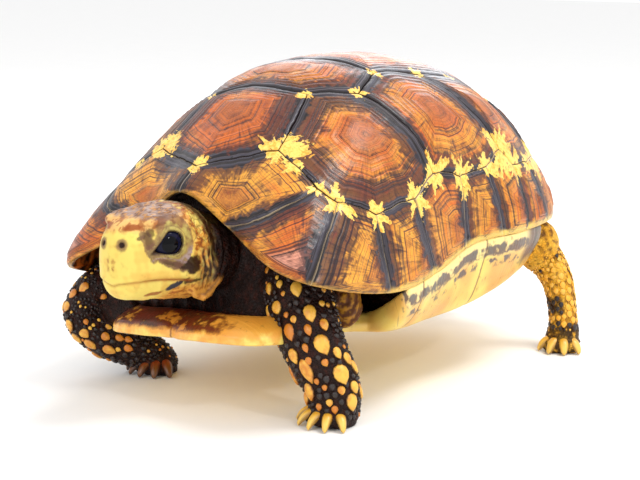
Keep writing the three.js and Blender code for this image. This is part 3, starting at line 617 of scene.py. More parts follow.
def horn_material(name, look, seam_colour, rim_share):
    """Ringed horn: orange to yellow, purple and black where it is new, yellow stars at the corners."""
    h = Shader(name)
    growth, seam, dark, black, star, hue = h.attributes("growth seam dark black star hue")
    ident, turn, rim, free, inside, front = h.attributes("ident turn rim free inside front")
    broad = h.noise(60, 2.0)
    patch = h.noise(230, 5.0)
    grain = h.noise(900, 3.0)
    rings = h.lines(rim * 0.5 + ident * 17.0 + patch * 0.3, 4.0)
    fine = h.lines(rim * 2.1 + ident * 31.0 + patch * 0.6, 2.0)
    thin = h.lines(rim * 0.75 + ident * 7.0 + patch * 0.25, 1.0).size().step(0.03, 0.005)
    across = h.noise(1.0, 4.0, h.vector(turn * 0.7, rim * 0.14, ident))
    along = h.noise(1.0, 4.0, h.vector(turn * 0.07, rim * 0.5, ident * 3.0))
    yellow = (hue + broad * 1.5 + rings + along * 0.8 + growth.step(0.2, 0.55) * 0.15).step(0.15, 0.95)
    base = h.mix(yellow, look.horn_orange, look.horn_yellow)
    base = h.mix((along * 1.6 + patch * 1.3 + broad).step(0.05, 0.7) * 0.75, base, look.horn_red)
    areola = growth.step(0.36, 0.24)
    stipple = h.cells(1300)
    base = h.mix(areola * (0.45 + stipple * 0.35), base, look.areola)
    base = h.mix(areola * hue.step(0.4, 0.32) * (0.9 - rings * 0.6) * rim_share, base, look.horn_pink)
    base = h.mix((rings + along * 0.7).step(0.12, 0.4) * 0.6, base, look.horn_brown)
    base = h.mix(fine.step(0.06, 0.22) * 0.35, base, look.horn_brown)
    veil = (across * 2.2 + growth * 0.25).step(0.22, 0.7) * growth.step(0.3, 0.7)
    base = h.mix(veil * 0.8, base, look.horn_purple)
    base = h.mix(thin * growth.step(0.16, 0.3) * 0.8, base, look.horn_dark)
    cloud = h.noise(400, 5.0)
    veil = (cloud * 1.6 + along * 1.2 + rings * 0.7).step(0.12, 0.5) * growth.step(0.1, 0.3)
    base = h.mix(veil * 0.7, base, look.horn_purple)
    warm = (dark + patch * 0.5 + across * 0.6 + rings * 0.4).step(-0.14, 0.34)
    purple = h.mix((rings + across).step(-0.15, 0.25), look.horn_purple, look.horn_dark)
    purple = h.mix((along + patch).step(0.15, 0.45) * 0.55, purple, look.horn_red)
    base = h.mix(warm * 0.86, base, purple)
    base = h.mix(thin * warm * 0.6, base, look.horn_black)
    ink = (black + patch * 0.3 + across * 0.25).step(0.06, 0.34)
    stripes = h.lines(seam * 0.8 + ident * 13.0 + patch * 0.4, 3.0)
    hair = h.lines(seam * 2.2 + ident * 5.0 + patch * 0.6, 2.0)
    # Black new horn with slate-grey stripes that are a painted sheen, and fine pale lines over it.
    black_with_sheen = h.mix((stripes + broad * 0.8).step(-0.1, 0.2), look.horn_black, look.horn_slate)
    black_with_sheen = h.mix(hair.step(0.12, 0.22) * 0.35, black_with_sheen, look.horn_pale)
    base = h.mix(ink * 0.95, base, black_with_sheen)
    speck = (star + grain * 1.3 + patch * 1.5 + across * 1.7).step(0.42, 0.6) * star.step(0.02, 0.2)
    gold = h.mix((grain + patch).step(-0.1, 0.3), look.star_yellow, look.horn_yellow)
    base = h.mix(speck, base, gold)
    dash = h.noise(1.0, 2.0, h.vector(turn * 0.5, seam * 0.2, ident)) * seam.step(2.2, 0.5)
    base = h.mix(dash.step(0.08, 0.14) * 0.85, base, look.horn_black)
    base = h.mix(seam.step(0.36, 0.14) * 0.9, base, seam_colour)
    lower = (free + patch * 3.0 + across * 2.0 + front * 1.7).step(3.2, 1.0) * rim_share
    smear = (patch * 2 + across).step(0.15, 0.45) * (1 - front)
    rim_tone = h.mix(smear * 0.8, look.star_yellow, look.horn_slate)
    base = h.mix(lower * (0.95 - front * 0.2), base, h.mix(front * 0.55, rim_tone, look.horn_yellow))
    under = h.mix(patch.step(-0.2, 0.2), look.belly_pale, look.horn_yellow)
    shaded = h.mix(patch.step(-0.25, 0.1), look.horn_orange, look.skin_dark)
    base = h.mix(inside, base, h.mix(front, under, shaded))
    height = (fine * 0.45 + rings * 0.8) * (1 - warm * 0.55) * (1 - ink) + (hair * 0.4 + stripes * 0.5) * ink
    height = height + grain * 0.2 - thin * (1 - ink) * 0.5 + areola * stipple * 0.35
    rough = 0.34 + grain * 0.2 + areola * 0.12
    return h.finish(base, rough, height, 0.00022, 0.9, Coat_Weight=0.16, Coat_Roughness=0.2,
                    Specular_IOR_Level=0.32)


# ---- Plastron ----

lobe_angles = [0, 8, 18, 25, 32, 41, 56, 95, 122, 137, 152, 167, 174, 180]
lobe_reach = through(lobe_angles, [88.3, 90.3, 91, 85.7, 72, 57.4, 55, 54, 60, 61.4, 73, 82.6, 81.7, 76.7])
lobe_height = through(lobe_angles, [20.5, 20.5, 20, 19.5, 19, 19, 18.5, 21, 26.5, 30.5, 29, 28, 28, 28])
LIP = 6.3
SHIELD_SEAMS = (-74, -38, 2, 34, 62)  # where the plastron's plates meet, front to rear, along Y
OPEN_END = 40.0  # stands for the distance from the shell's edge where there is no bridge


def bridge(degrees):
    """1 where shell and plastron are joined at the side, 0 at the open ends."""
    return smooth(degrees, 50, 59) * (1 - smooth(degrees, 129, 138))


def shield_profile(angle):
    """The plastron's closed section at an angle: up the outside, then down the inside."""
    degrees = np.degrees(np.abs(angle))
    share = bridge(degrees)
    r, z = lobe_reach(degrees), lobe_height(degrees)
    rim, top = margin_reach(degrees), margin_height(degrees)
    front = smooth(degrees, 34, 24)
    lobe = [(r * 0.4, z + 0.2), (r * 0.8, z + 0.3), (r - 1.8, z + 0.7), (r, z + 2.9), (r - 0.9, z + 4.8),
            (r - 3.2, z + LIP + 0.2), (r - 9, z + LIP + 2.6 * front), (r - 14, z + 4.6 + 4 * front),
            (r * 0.66, z + 3.8 + 1.5 * front), (r * 0.33, z + 3.7)]
    side = [(rim * 0.4, z + 0.2), (rim * 0.7, z + 0.4), (rim * 0.87, z + 2.8), (rim * 0.975, top - 7),
            (rim - 0.2, top - 0.6), (rim - 2.2, top - 0.6), (rim * 0.975 - 3.2, top - 6.6),
            (rim * 0.86 - 2, z + 6.4), (rim * 0.66, z + 3.9), (rim * 0.33, z + 3.8)]
    out = np.array([mix(a[0], b[0], share) for a, b in zip(lobe, side)])
    up = np.array([mix(a[1], b[1], share) for a, b in zip(lobe, side)])
    return out, up


def plastron_mesh(stations=600, per_span=9):
    """The plastron with its thick lip, its bridges, and grooves between its plates."""
    angle = (np.arange(stations) / stations) * 2 * pi - pi
    corners = np.stack(shield_profile(angle), -1)
    last = len(corners) - 1
    places = []
    for i in range(last):
        around_corner = [corners[np.clip(i + j, 0, last)] for j in (-1, 0, 1, 2)]
        for t in np.arange(per_span) / per_span:
            weights = (-0.5 * t + t * t - 0.5 * t ** 3, 1 - 2.5 * t * t + 1.5 * t ** 3,
                       0.5 * t + 2 * t * t - 1.5 * t ** 3, -0.5 * t * t + 0.5 * t ** 3)
            places.append(sum(weight * corner for weight, corner in zip(weights, around_corner)))
    out, up = np.moveaxis(np.array(places + [corners[last]]), -1, 0)
    rows = len(out)
    x = out * np.sin(angle)
    y = SHELL_CENTRE_Y - out * np.cos(angle)
    outside = smooth(np.arange(rows)[:, None], 7.2 * per_span, 6.2 * per_span) + 0 * x
    bent = np.abs(x) * 0.1 + 1.2 * np.sin(x * 0.12)
    cross = np.abs((y - bent)[..., None] - np.array(SHIELD_SEAMS)).min(-1)
    groove = np.minimum(np.abs(x - 0.8 * np.sin(y * 0.15)), cross)
    degrees = np.degrees(np.abs(angle))
    lip = smooth(degrees, 44, 33) + 0 * x
    cut = bell(groove, 0, 0.5) * outside * 0.45
    notch = bell(degrees, 0, 1.1) * outside * 1.1
    sideways = smooth(np.arange(rows)[:, None], per_span * 1.5, per_span * 2.5)
    out = out - (cut + notch) * sideways
    up = up + cut * (1 - sideways)
    x, y = out * np.sin(angle), SHELL_CENTRE_Y - out * np.cos(angle)
    places = np.stack([x, y, up], -1).reshape(-1, 3)
    places += np.array([0, 0, 1.0]) * (0.18 * ripple(places / 10, 0.35, 31))[:, None]
    middles = np.array([[0, SHELL_CENTRE_Y, 22], [0, SHELL_CENTRE_Y, 25.5]])
    share = bridge(degrees)
    values = {
        "groove": (groove, 0.0, 9.0), "lip": (lip, 0.0, 0.0),
        "under": ((margin_height(degrees) - up) * share + OPEN_END * (1 - share), OPEN_END, OPEN_END),
        "height": (up - lobe_height(degrees), 0.0, 3.0), "side": (np.degrees(angle) + 0 * out, 0.0, 0.0),
    }
    values = {key: np.append(grid, ends) for key, (grid, *ends) in values.items()}
    return tilted(np.concatenate([places, middles])), ring_faces(rows, stations), values


def plastron_material(look):
    h = Shader("belly_horn")
    groove, lip, under, height, side = h.attributes("groove lip under height side")
    broad = h.noise(60, 2.0)
    patch = h.noise(260, 4.0)
    grain = h.noise(1100, 3.0)
    base = h.mix((broad * 1.8 + 0.4).step(0.1, 0.8), look.belly_yellow, look.belly_amber)
    base = h.mix((under + patch * 3).step(9, 3) * 0.6, base, look.belly_pale)
    wave = patch * 7 + broad * 5
    upper = (patch * 1.2 + broad * 1.2).step(-0.1, 0.08) * (under - 5.0 + wave).size().step(2.6, 1.2)
    lower = (patch + broad).step(0.05, 0.2) * (under - 10 + wave).size().step(2.0, 0.8)
    corner = side.size().step(119, 124) * (under + wave).step(15, 10)
    smudge = h.mix(patch.step(-0.1, 0.15), look.horn_purple, look.horn_slate)
    base = h.mix(upper.most(lower).most(corner) * 0.9, base, smudge)
    dash = h.noise(1.0, 2.0, h.vector(side * 0.55, under * 0.3)).step(0.12, 0.18) * under.step(30, 12)
    base = h.mix(dash * 0.4, base, look.horn_brown)
    amber = (patch * 1.5 + broad + height * 0.12).step(0.0, 0.5) * lip
    base = h.mix(amber * 0.8, base, look.lip_orange)
    blotch = (height + patch * 3.0 + broad * 3.0 + grain).step(3.3, 5.0) * lip
    blotch = blotch * (side + patch * 30).step(17, 9)
    blotch = blotch * (1 - (patch * 1.6 + broad * 1.4 + grain * 0.4).step(0.12, 0.3) * 0.75)
    red = h.mix((patch + grain * 0.5).step(-0.1, 0.2), look.lip_red, look.skin_dark)
    base = h.mix(blotch * 0.96, base, red)
    base = h.mix((grain + patch * 1.4).step(0.25, 0.5) * 0.35, base, look.horn_brown)
    base = h.mix(groove.step(0.62, 0.2) * 0.75, base, look.horn_brown)
    bumps = grain * 0.4 + patch * 0.6 + h.lines(groove * 1.1 + patch * 0.5) * 0.7
    return h.finish(base, 0.38 + grain * 0.2, bumps, 0.00025, 0.8, Coat_Weight=0.25, Coat_Roughness=0.3)


# ---- The limbs' paths ----

SAMPLES = 72


class Limb:
    """A swept limb: places along its middle with half widths across (broad) and through (thin)."""

    def __init__(self, broadside, stations, skin_depth):
        points = np.array([station[0] for station in stations], float)
        shares = np.linspace(0, 1, len(stations))
        self.share = np.linspace(0, 1, SAMPLES)
        self.at = self.curve(points, self.share)
        step = 1e-4
        ahead = self.curve(points, np.minimum(self.share + step, 1))
        self.along = unit(ahead - self.curve(points, np.maximum(self.share - step, 0)))
        side = np.array(broadside, float) - self.along * (self.along @ np.array(broadside, float))[:, None]
        self.across = unit(side)
        self.through = np.cross(self.along, self.across)
        self.broad = through(shares, [station[1] for station in stations])(self.share) - skin_depth
        self.thin = through(shares, [station[2] for station in stations])(self.share) - skin_depth
        self.spacing = norm(np.gradient(self.at, axis=0), axis=1)

    @staticmethod
    def curve(points, shares):
        """A centripetal Catmull-Rom curve through the points."""
        places = []
        last = len(points) - 1
        for share in shares:
            i = min(int(share * last), last - 1)
            t = share * last - i
            b, c = points[i], points[i + 1]
            a = points[i - 1] if i else 2 * points[0] - points[1]
            d = points[i + 2] if i + 2 <= last else 2 * points[last] - points[last - 1]
            u, v, w = (max(norm(q - p), 1e-4) ** 0.5 for p, q in ((a, b), (b, c), (c, d)))
            m = ((b - a) / u - (c - a) / (u + v) + (c - b) / v) * v
            n = ((c - b) / v - (d - b) / (v + w) + (d - c) / w) * v
            places.append(b + m * t + (3 * (c - b) - 2 * m - n) * t * t + (2 * (b - c) + m + n) * t ** 3)
        return np.array(places)

    def locate(self, points):
        """For points: distance from the limb's skin, share along it, and angle about it in radians."""
        shape = points.shape[:-1]
        flat = points.reshape(-1, 3).astype(np.float32)
        best = np.full(len(flat), 1e9, np.float32)
        index = np.zeros(len(flat), np.int32)
        for i, place in enumerate(self.at.astype(np.float32)):
            gap = flat - place
            distance = dots(gap, gap)
            closer = distance < best
            best[closer] = distance[closer]
            index[closer] = i
        offset = flat - self.at[index]
        slide = dots(offset, self.along[index]) / self.spacing[index]
        over = np.where(index == SAMPLES - 1, np.maximum(slide, 0), 0)
        over = np.where(index == 0, np.maximum(-slide, 0), over) * self.spacing[index]
        exact = np.clip(index + np.clip(slide, -0.6, 0.6), 0, SAMPLES - 1)
        low = np.minimum(exact.astype(int), SAMPLES - 2)
        t = (exact - low)[:, None]
        pick = lambda values: values[low] * (1 - t) + values[low + 1] * t
        offset = flat - pick(self.at)
        across = dots(offset, unit(pick(self.across)))
        depth = dots(offset, unit(pick(self.through)))
        broad = pick(self.broad[:, None])[:, 0]
        thin = pick(self.thin[:, None])[:, 0]
        u, v = across / broad, depth / thin
        k = np.maximum(np.hypot(u, v), 1e-4)
        slope = np.maximum(np.hypot(u / broad, v / thin) / k, 1e-4)
        distance = np.where(over > 0, np.hypot(np.maximum((k - 1) / slope, 0), over), (k - 1) / slope)
        share = exact / (SAMPLES - 1)
        return distance.reshape(shape), share.reshape(shape), np.arctan2(v, u).reshape(shape)

    def frame(self, share):
        """Middle, along, across, through, broad and thin at one share."""
        exact = share * (SAMPLES - 1)
        low = min(int(exact), SAMPLES - 2)
        t = exact - low
        return [mix(values[low], values[low + 1], t) for values in
                (self.at, self.along, self.across, self.through, self.broad, self.thin)]

    def spot(self, share, angle):
        """A place on the limb's face."""
        at, _, across, depth, broad, thin = self.frame(share)
        return at + across * broad * cos(angle) + depth * thin * sin(angle)


COAT = 0.3  # how far the skin lies inside the solid limbs, under its scales
LIMBS = {
    "foreleg_left": Limb((1, 0.1, 0.25), [
        ((22, -46, 47), 9, 9), ((32, -62, 45), 12, 9.5), ((44, -70, 29), 11.6, 9),
        ((51.5, -68, 13), 10, 8), ((52, -67, 4), 8.6, 8), ((52, -67, -2), 7.8, 7.4)], COAT),
    "foreleg_right": Limb((0.7, -0.7, 0.1), [
        ((-24, -48, 43), 9, 9), ((-39.5, -62.5, 37.4), 9.5, 9), ((-52, -74.5, 31.6), 9, 7.6),
        ((-56, -78, 22.6), 8.6, 7), ((-51, -72, 14.5), 8.4, 7.8), ((-43, -63, 9), 7.6, 7.4),
        ((-38.5, -57.5, 4), 7.2, 7), ((-38, -57, -2), 7, 6.8)], COAT),
    "hindleg_left": Limb((0.75, 0.65, 0.1), [
        ((30, 42, 44), 9, 9), ((46, 58, 42), 9, 8.5), ((55.5, 66, 29), 6.4, 6.4),
        ((60.5, 65, 12), 5.6, 5.8), ((61.5, 63.5, 5), 6.6, 6.6), ((61.8, 63, -2), 6.4, 6.4)], COAT),
    "hindleg_right": Limb((0.75, -0.65, 0.1), [
        ((-30, 36, 42), 9, 9), ((-46, 47, 38), 9, 8.5), ((-55, 52, 26), 6.6, 6.6),
        ((-58.5, 50, 12), 5.8, 6), ((-59, 48.5, 5), 6.6, 6.6), ((-59, 48, -2), 6.4, 6.4)], COAT),
}
NECK = Limb((1, 0, 0), [
    ((0, -40, 50), 12, 12), ((0.3, -57, 51), 13, 12), ((1.6, -69, 51.5), 13.5, 12.5),
    ((2.8, -83, 53.4), 14, 13.6)], COAT)
TAIL = Limb((1, 0, 0), [
    ((0, 50, 42.5), 6.4, 5.6), ((0, 68, 40), 6, 5), ((0.5, 82, 32), 4.6, 4.2),
    ((2, 89, 21), 2.8, 2.6), ((3, 90.5, 12), 0.9, 0.9)], 0.15)
# The claws of each foot: count, headings of the first and last, reach, radius, length.
CLAWS = {
    "foreleg_left": (5, -62, 52, 7.2, 2.05, 10.2), "foreleg_right": (5, -50, 62, 6.4, 2.3, 10.8),
    "hindleg_left": (4, -38, 70, 5.4, 2.4, 8.6), "hindleg_right": (4, -66, 42, 5.4, 2.4, 8.6),
}
FOOT_SHARE = 0.93


# ---- The skin's field ----

head_y = [-16.6, -15.4, -12.6, -7.5, -1, 6, 13, 18, 22]
head_half = through(head_y, [5.0, 6.2, 8.3, 10.4, 13.0, 14.3, 14.6, 14.0, 12.4])
head_top = through(head_y, [1.6, 3.6, 6.4, 8.6, 10.5, 11.5, 11.1, 9.5, 7.0])
head_bottom = through(head_y, [-14.0, -15.4, -17.6, -18.7, -19.5, -20.7, -21.7, -21.7, -19.7])
mouth_line = through([-16.6, -13, -6, 2, 8.5], [-12.0, -11.4, -11.3, -12.2, -13.2])
SNOUT_END = -16.3
MOUTH_CORNER = 8.5
GAZE = 62  # degrees from straight ahead
LID_OUT = 6.95
EYE_CAVITY = 6.2
LID_REACH = 9.8
# Rings of the lids: height, distance from the opening, width.
LID_RINGS = ((0.4, 0.12, 0.1), (-0.3, 0.33, 0.06), (0.22, 0.46, 0.07), (-0.5, 0.68, 0.08), (0.2, 0.86, 0.07))
ARMPIT = np.array([45.5, -54, 38])
HEAD_BACK = -78  # along Y
CLEAR = 12.0  # the field where there is no flesh yet
HIDE_SHARE = 0.455  # of the skin's faces that are kept
FINE, MEDIUM, COARSE = 0.46, 0.66, 3  # spacings of the skin's grid: head, legs, inside the shell
ANKLE, TOES = 0.54, 0.64  # where the dark marks of the hind legs are, as shares along them


def joined(a, b, width):
    """The union of two fields with a fillet."""
    near = np.maximum(width - np.abs(a - b), 0) / width
    return np.minimum(a, b) - near * near * width / 4


def common(a, b, width):
    """What two fields have in common, with a rounded edge."""
    return -joined(-a, -b, width)


def beak_edge(x, y):
    """The height of the mouth's line, with the hook of the beak in front."""
    return mouth_line(y) - 0.9 * bell(x, 0, 2.0) * smooth(y, -13, -15.5)


def in_head(points):
    return (points - HEAD_PLACE) @ HEAD_TURN


def eye_opening(x, y, z):
    """How far outside the eye's opening a direction from the eye lies, and distance from its middle."""
    s, c = sin(radians(GAZE)), cos(radians(GAZE))
    x = np.abs(x) - EYE_SIDE
    radius = np.maximum(np.sqrt(x * x + y * y + z * z), 1e-3)
    out = (x * s - y * c) / radius
    ahead = (-x * c - y * s) / radius
    up = z / radius
    along = (ahead * 0.92 - up * 0.4 - 0.02) / 0.74
    across = ahead * 0.4 + up * 0.92 - 0.02
    height = 0.51 * (1 - 0.58 * np.clip(along, -0.3, 1))
    return np.hypot(along, across / height) - 1 + np.where(out < 0, 2.0, 0.0), radius


def head_field(points):
    """The head with lids, nostrils and mouth."""
    local = in_head(points)
    x, y, z = local[..., 0], local[..., 1], local[..., 2]
    half, top, bottom = head_half(y), head_top(y), head_bottom(y)
    centre, tall = (top + bottom) / 2, (top - bottom) / 2
    n = 2.4
    u, v = np.abs(x) / half, np.abs(z - centre) / tall
    k = np.maximum((u ** n + v ** n) ** (1 / n), 1e-3)
    slope = np.hypot((u / k) ** (n - 1) / half, (v / k) ** (n - 1) / tall)
    d = (k - 1) / np.maximum(slope, 1e-3)
    d = common(d, SNOUT_END - y, 4.5)
    d = common(d, y - 25, 3)
    side = np.abs(x)
    cheek = np.sqrt(((side - 8.6) / 6.2) ** 2 + ((y - 10) / 9) ** 2 + ((z + 8) / 8) ** 2)
    d = joined(d, (cheek - 1) * 6.2, 3)
    brow = np.sqrt(((side - 7.6) / 4.6) ** 2 + ((y + 0.5) / 8) ** 2 + ((z - 6.8) / 2.6) ** 2)
    d = joined(d, (brow - 1) * 2.6, 2.4)
    # Forehead scales and the slight ridge of the beak.
    d = d + 0.25 * bell(side, 0, 0.5) * smooth(z, 4, 8) * smooth(y, -13, -9)
    d = d - 0.35 * bell(side, 0, 1.6) * smooth(y, -12, -15) * smooth(z, -12.5, -9)
    # The mouth: a groove, the beak over it, the jaw set back under it.
    gap = z - beak_edge(x, y)
    ahead = smooth(y, MOUTH_CORNER + 0.8, MOUTH_CORNER - 1.2)
    d = d + ahead * (0.55 * bell(gap, 0, 0.4) - 0.25 * bell(gap, 1.1, 0.9) * (gap > 0)
                     + 0.25 * np.where(gap < 0, np.exp(np.minimum(gap, 0) / 3.0), 0))
    d = d + 0.4 * bell(np.hypot(y - MOUTH_CORNER - 0.6, gap), 0, 1.1)
    # Folds behind the jaw and under the throat.
    low = smooth(z, -4, -9)
    slant = y + z * 0.1
    for at, strength in ((11.9, 0.45), (14.2, 0.5), (16.6, 0.6)):
        fold = bell(slant + 0.3 * np.sin(z * 0.9), at, 0.6) - bell(slant, at + 1.1, 0.6)
        d = d + strength * fold * low
    # The flap of skin behind the jaw.
    turn = np.clip(np.arctan2(-(z + 12.5), y - 13.5), -0.3, 1.5)
    hem = np.hypot(y - 13.5 - 7.6 * np.cos(turn), z + 12.5 + 7.6 * np.sin(turn))
    flap = np.hypot(hem, side - 13.2)
    web = np.maximum(np.hypot((y - 15) / 6.0, (z + 15) / 6.4) * 6 - 6, np.abs(side - 11.8) - 1.0)
    d = joined(joined(d, web, 2.0), flap - 0.95, 1.2)
    # Edges of the crown's scales.
    for at in (-8.5, -2.5, 4.5, 10.5):
        d = d + 0.22 * bell(y + 0.25 * side + 0.5 * np.sin(side * 1.3 + at), at, 0.35) * smooth(z, 5.5, 7.5)
    d = d - (0.2 * ripple(local / 10, 1.6, 41) + 0.08 * ripple(local / 10, 5.0, 42)) * smooth(y, -12, -4)
    outside, radius = eye_opening(x, y, z)
    lid = LID_OUT
    for height, at, width in LID_RINGS:
        lid = lid + height * bell(outside, at, width)
    d = joined(d, radius - lid, 1.4)
    d = common(d, EYE_CAVITY - radius, 0.15)
    cut = np.maximum(outside * 4.2, radius - 9.0)
    d = common(d, -cut, 0.5)
    nostril = np.sqrt((side - 3.9) ** 2 + (y + 15.4) ** 2 + ((z - 0.9) * 1.1) ** 2)
    d = d - 0.35 * bell(nostril, 1.7, 0.5)
    return common(d, 0.9 - nostril, 0.3)


def limb_field(limb, points, wrinkles, grip):
    """A limb with folds of skin across it, stronger at the shares in grip."""
    distance, share, angle = limb.locate(points)
    fold = np.zeros_like(distance)
    for at, width, strength in grip:
        fold += strength * bell(share, at, width)
    bend = 0.8 * np.sin(angle * 2) + 0.6 * ripple(points / 10, 0.8, 51)
    waves = np.sin(share * wrinkles * 2 * pi + bend)
    fine = np.sin(share * wrinkles * 4.3 * pi + 1.3 * np.sin(angle * 3 + 1))
    return distance - fold * (0.6 * waves + 0.25 * fine) - 0.22 * ripple(points / 10, 0.9, 52)


def foot_field(name, points):
    """The pad of a foot: rounder than the leg, with toes that lead into the claws."""
    count, first, last, reach, radius, _ = CLAWS[name]
    at = LIMBS[name].frame(FOOT_SHARE)[0]
    d = np.full(points.shape[:-1], CLEAR)
    for heading in np.linspace(first, last, count):
        a = radians(heading)
        ahead = np.array([sin(a), -cos(a), 0])
        start, stop = at * [1, 1, 0] + [0, 0, 5.2], at * [1, 1, 0] + ahead * (reach + 0.6) + [0, 0, 2.9]
        line = stop - start
        t = np.clip(((points - start) @ line) / (line @ line), 0, 1)
        toe = norm(points - (start + t[..., None] * line), axis=-1) - mix(3.4, radius + 0.35, t)
        d = joined(d, toe, 0.9)
    return d


def trunk_profiles(angles):
    """Closed sections of the soft body at angles from the front: reach and height of each corner."""
    degrees = np.degrees(np.abs(angles))
    share = bridge(degrees)
    under = []
    for rho in (0.02, 0.3, 0.6, 0.9):
        r = mix(rho * 0.8, rho, share)
        p, q = r * np.sin(angles), -r * np.cos(angles)
        place = shell_face(p, q) - shell_normal(p, q) * 5.0
        under.append((np.hypot(place[:, 0], place[:, 1] - SHELL_CENTRE_Y), place[:, 2]))
    r, z = lobe_reach(degrees), lobe_height(degrees)
    rim, top = margin_reach(degrees), margin_height(degrees)
    lobe = [(r - 23, z + 22), (r - 21, z + 12), (r - 19, z + 6), (r * 0.62, z + 5.3), (r * 0, z * 0 + 26.8)]
    side = [(rim - 5.4, top - 1.9), (rim * 0.975 - 6, top - 6), (rim * 0.86 - 5.2, z + 8.9),
            (rim * 0.62, z + 5.7), (rim * 0, z * 0 + 26.8)]
    for (lobe_r, lobe_z), (side_r, side_z) in zip(lobe, side):
        under.append((mix(lobe_r, side_r, share), mix(lobe_z, side_z, share)))
    return np.array([r for r, _ in under]).T, np.array([z for _, z in under]).T


def trunk_field(points):
    """The soft body inside the shell."""
    flat = upright(points.reshape(-1, 3))
    angle = np.arctan2(flat[:, 0], -(flat[:, 1] - SHELL_CENTRE_Y))
    steps = 240
    grid = (np.arange(steps) / steps) * 2 * pi - pi
    reach, height = trunk_profiles(grid)
    index = np.round((angle + pi) / (2 * pi) * steps).astype(int) % steps
    reach = np.concatenate([np.zeros((steps, 1)), reach], 1)[index]
    height = np.concatenate([height[:, :1], height], 1)[index]
    r, z = np.hypot(flat[:, 0], flat[:, 1] - SHELL_CENTRE_Y), flat[:, 2]
    best = np.full(len(flat), 1e9)
    winding = np.zeros(len(flat), int)
    corners = reach.shape[1]
    for k in range(corners - 1):
        ax, az, bx, bz = reach[:, k], height[:, k], reach[:, k + 1], height[:, k + 1]
        ex, ez = bx - ax, bz - az
        t = np.clip(((r - ax) * ex + (z - az) * ez) / np.maximum(ex * ex + ez * ez, 1e-9), 0, 1)
        best = np.minimum(best, np.hypot(r - ax - t * ex, z - az - t * ez))
        crossing = (az > z) != (bz > z)
        at = ax + (z - az) * ex / np.where(ez == 0, 1e-9, ez)
        winding += (crossing & (at > r)).astype(int)
    return np.where(winding % 2 == 1, -best, best).reshape(points.shape[:-1])


def axis(*stretches):
    """Grid lines from stretches of start, stop and spacing."""
    lines = [np.linspace(a, b, max(1, round((b - a) / step)), endpoint=False) for a, b, step in stretches]
    return np.concatenate(lines + [[stretches[-1][1]]])


def blended(field, axes, low, high, part, width, work=None):
    """Joins a part's field to the whole within a box of the grid, from a coarser grid if work is set."""
    spans = [slice(max(np.searchsorted(line, a) - 1, 0), np.searchsorted(line, b) + 1)
             for line, a, b in zip(axes, low, high)]
    lines = [line[span] for line, span in zip(axes, spans)]
    if work is None:
        values = part(np.stack(np.meshgrid(*lines, indexing="ij"), -1))
    else:
        counts = [int((line[-1] - line[0]) / work) + 2 for line in lines]
        coarse = [np.linspace(line[0], line[-1], count) for line, count in zip(lines, counts)]
        values = part(np.stack(np.meshgrid(*coarse, indexing="ij"), -1))
        for k in range(3):
            place = np.interp(lines[k], coarse[k], np.arange(len(coarse[k])))
            low_index = np.minimum(place.astype(int), len(coarse[k]) - 2)
            t = (place - low_index).reshape([-1 if j == k else 1 for j in range(3)])
            values = np.take(values, low_index, k) * (1 - t) + np.take(values, low_index + 1, k) * t
    block = field[tuple(spans)]
    field[tuple(spans)] = joined(block, values.astype(np.float32), width)


def surface(field, axes):
    """Points and quads of the field's surface, one point in each cell that the surface crosses."""
    inside = field < 0
    cells = tuple(n - 1 for n in field.shape)
    total = np.zeros(cells, np.int8)
    corners = [(i, j, k) for i in (0, 1) for j in (0, 1) for k in (0, 1)]
    for i, j, k in corners:
        total += inside[i:i + cells[0], j:j + cells[1], k:k + cells[2]]
    where = np.stack(np.nonzero((total > 0) & (total < 8)), -1)
    ids = np.full(cells, -1, np.int64)
    ids[tuple(where.T)] = np.arange(len(where))
    values = {c: field[tuple((where + c).T)] for c in corners}
    places = {c: np.stack([line[where[:, n] + c[n]] for n, line in enumerate(axes)], -1) for c in corners}
    sums, counts = np.zeros((len(where), 3)), np.zeros(len(where))
    for a in corners:
        for n in range(3):
            if a[n]:
                continue
            b = tuple(1 if m == n else a[m] for m in range(3))
            crosses = (values[a] < 0) != (values[b] < 0)
            t = np.where(crosses, values[a] / np.where(values[a] == values[b], 1, values[a] - values[b]), 0)
            sums += np.where(crosses[:, None], places[a] + (places[b] - places[a]) * t[:, None], 0)
            counts += crosses
    faces = []
    for n in range(3):
        first = np.take(inside, np.arange(field.shape[n] - 1), n)
        second = np.take(inside, np.arange(1, field.shape[n]), n)
        edges = np.stack(np.nonzero(first != second), -1)
        u, v = [m for m in range(3) if m != n]
        edges = edges[(edges[:, u] > 0) & (edges[:, v] > 0)]
        edges = edges[(edges[:, u] < cells[u]) & (edges[:, v] < cells[v])]
        around_edge = []
        for du, dv in ((1, 1), (0, 1), (0, 0), (1, 0)):
            cell = edges.copy()
            cell[:, u] -= du
            cell[:, v] -= dv
            around_edge.append(ids[tuple(cell.T)])
        quads = np.stack(around_edge, -1)
        flip = first[tuple(edges.T)] == (n == 1)
        quads[flip] = quads[flip][:, ::-1]
        faces.append(quads)
    return sums / counts[:, None], np.concatenate(faces)


def swelling(points, middle, half):
    """About the distance from an ellipsoid of soft flesh."""
    offset = (points - np.array(middle)) / np.array(half)
    return (norm(offset, axis=-1) - 1) * min(half)


def chest_field(points):
    """Loose skin between the neck, the right arm and the plastron's lip."""
    return swelling(points, (-17, -68, 33.5), (26, 11, 6.8)) - 0.5 * np.sin(points @ [0.9, 0.5, 0])


def armpit_rings(points):
    """Distance from the middle of the armpit's ringed fold, seen along the way it faces."""
    offset = points - ARMPIT
    facing = np.array([0.62, -0.76, 0.15])
    offset = offset - (offset @ facing)[..., None] * facing
    return np.hypot(offset[..., 0] * 0.8 + offset[..., 1] * 0.6, (offset[..., 2] - 1.5) * 0.72)


def armpit_field(points):
    return swelling(points, ARMPIT, (6.4, 6.2, 9.4)) - 0.4 * np.sin(armpit_rings(points) * 2.9)


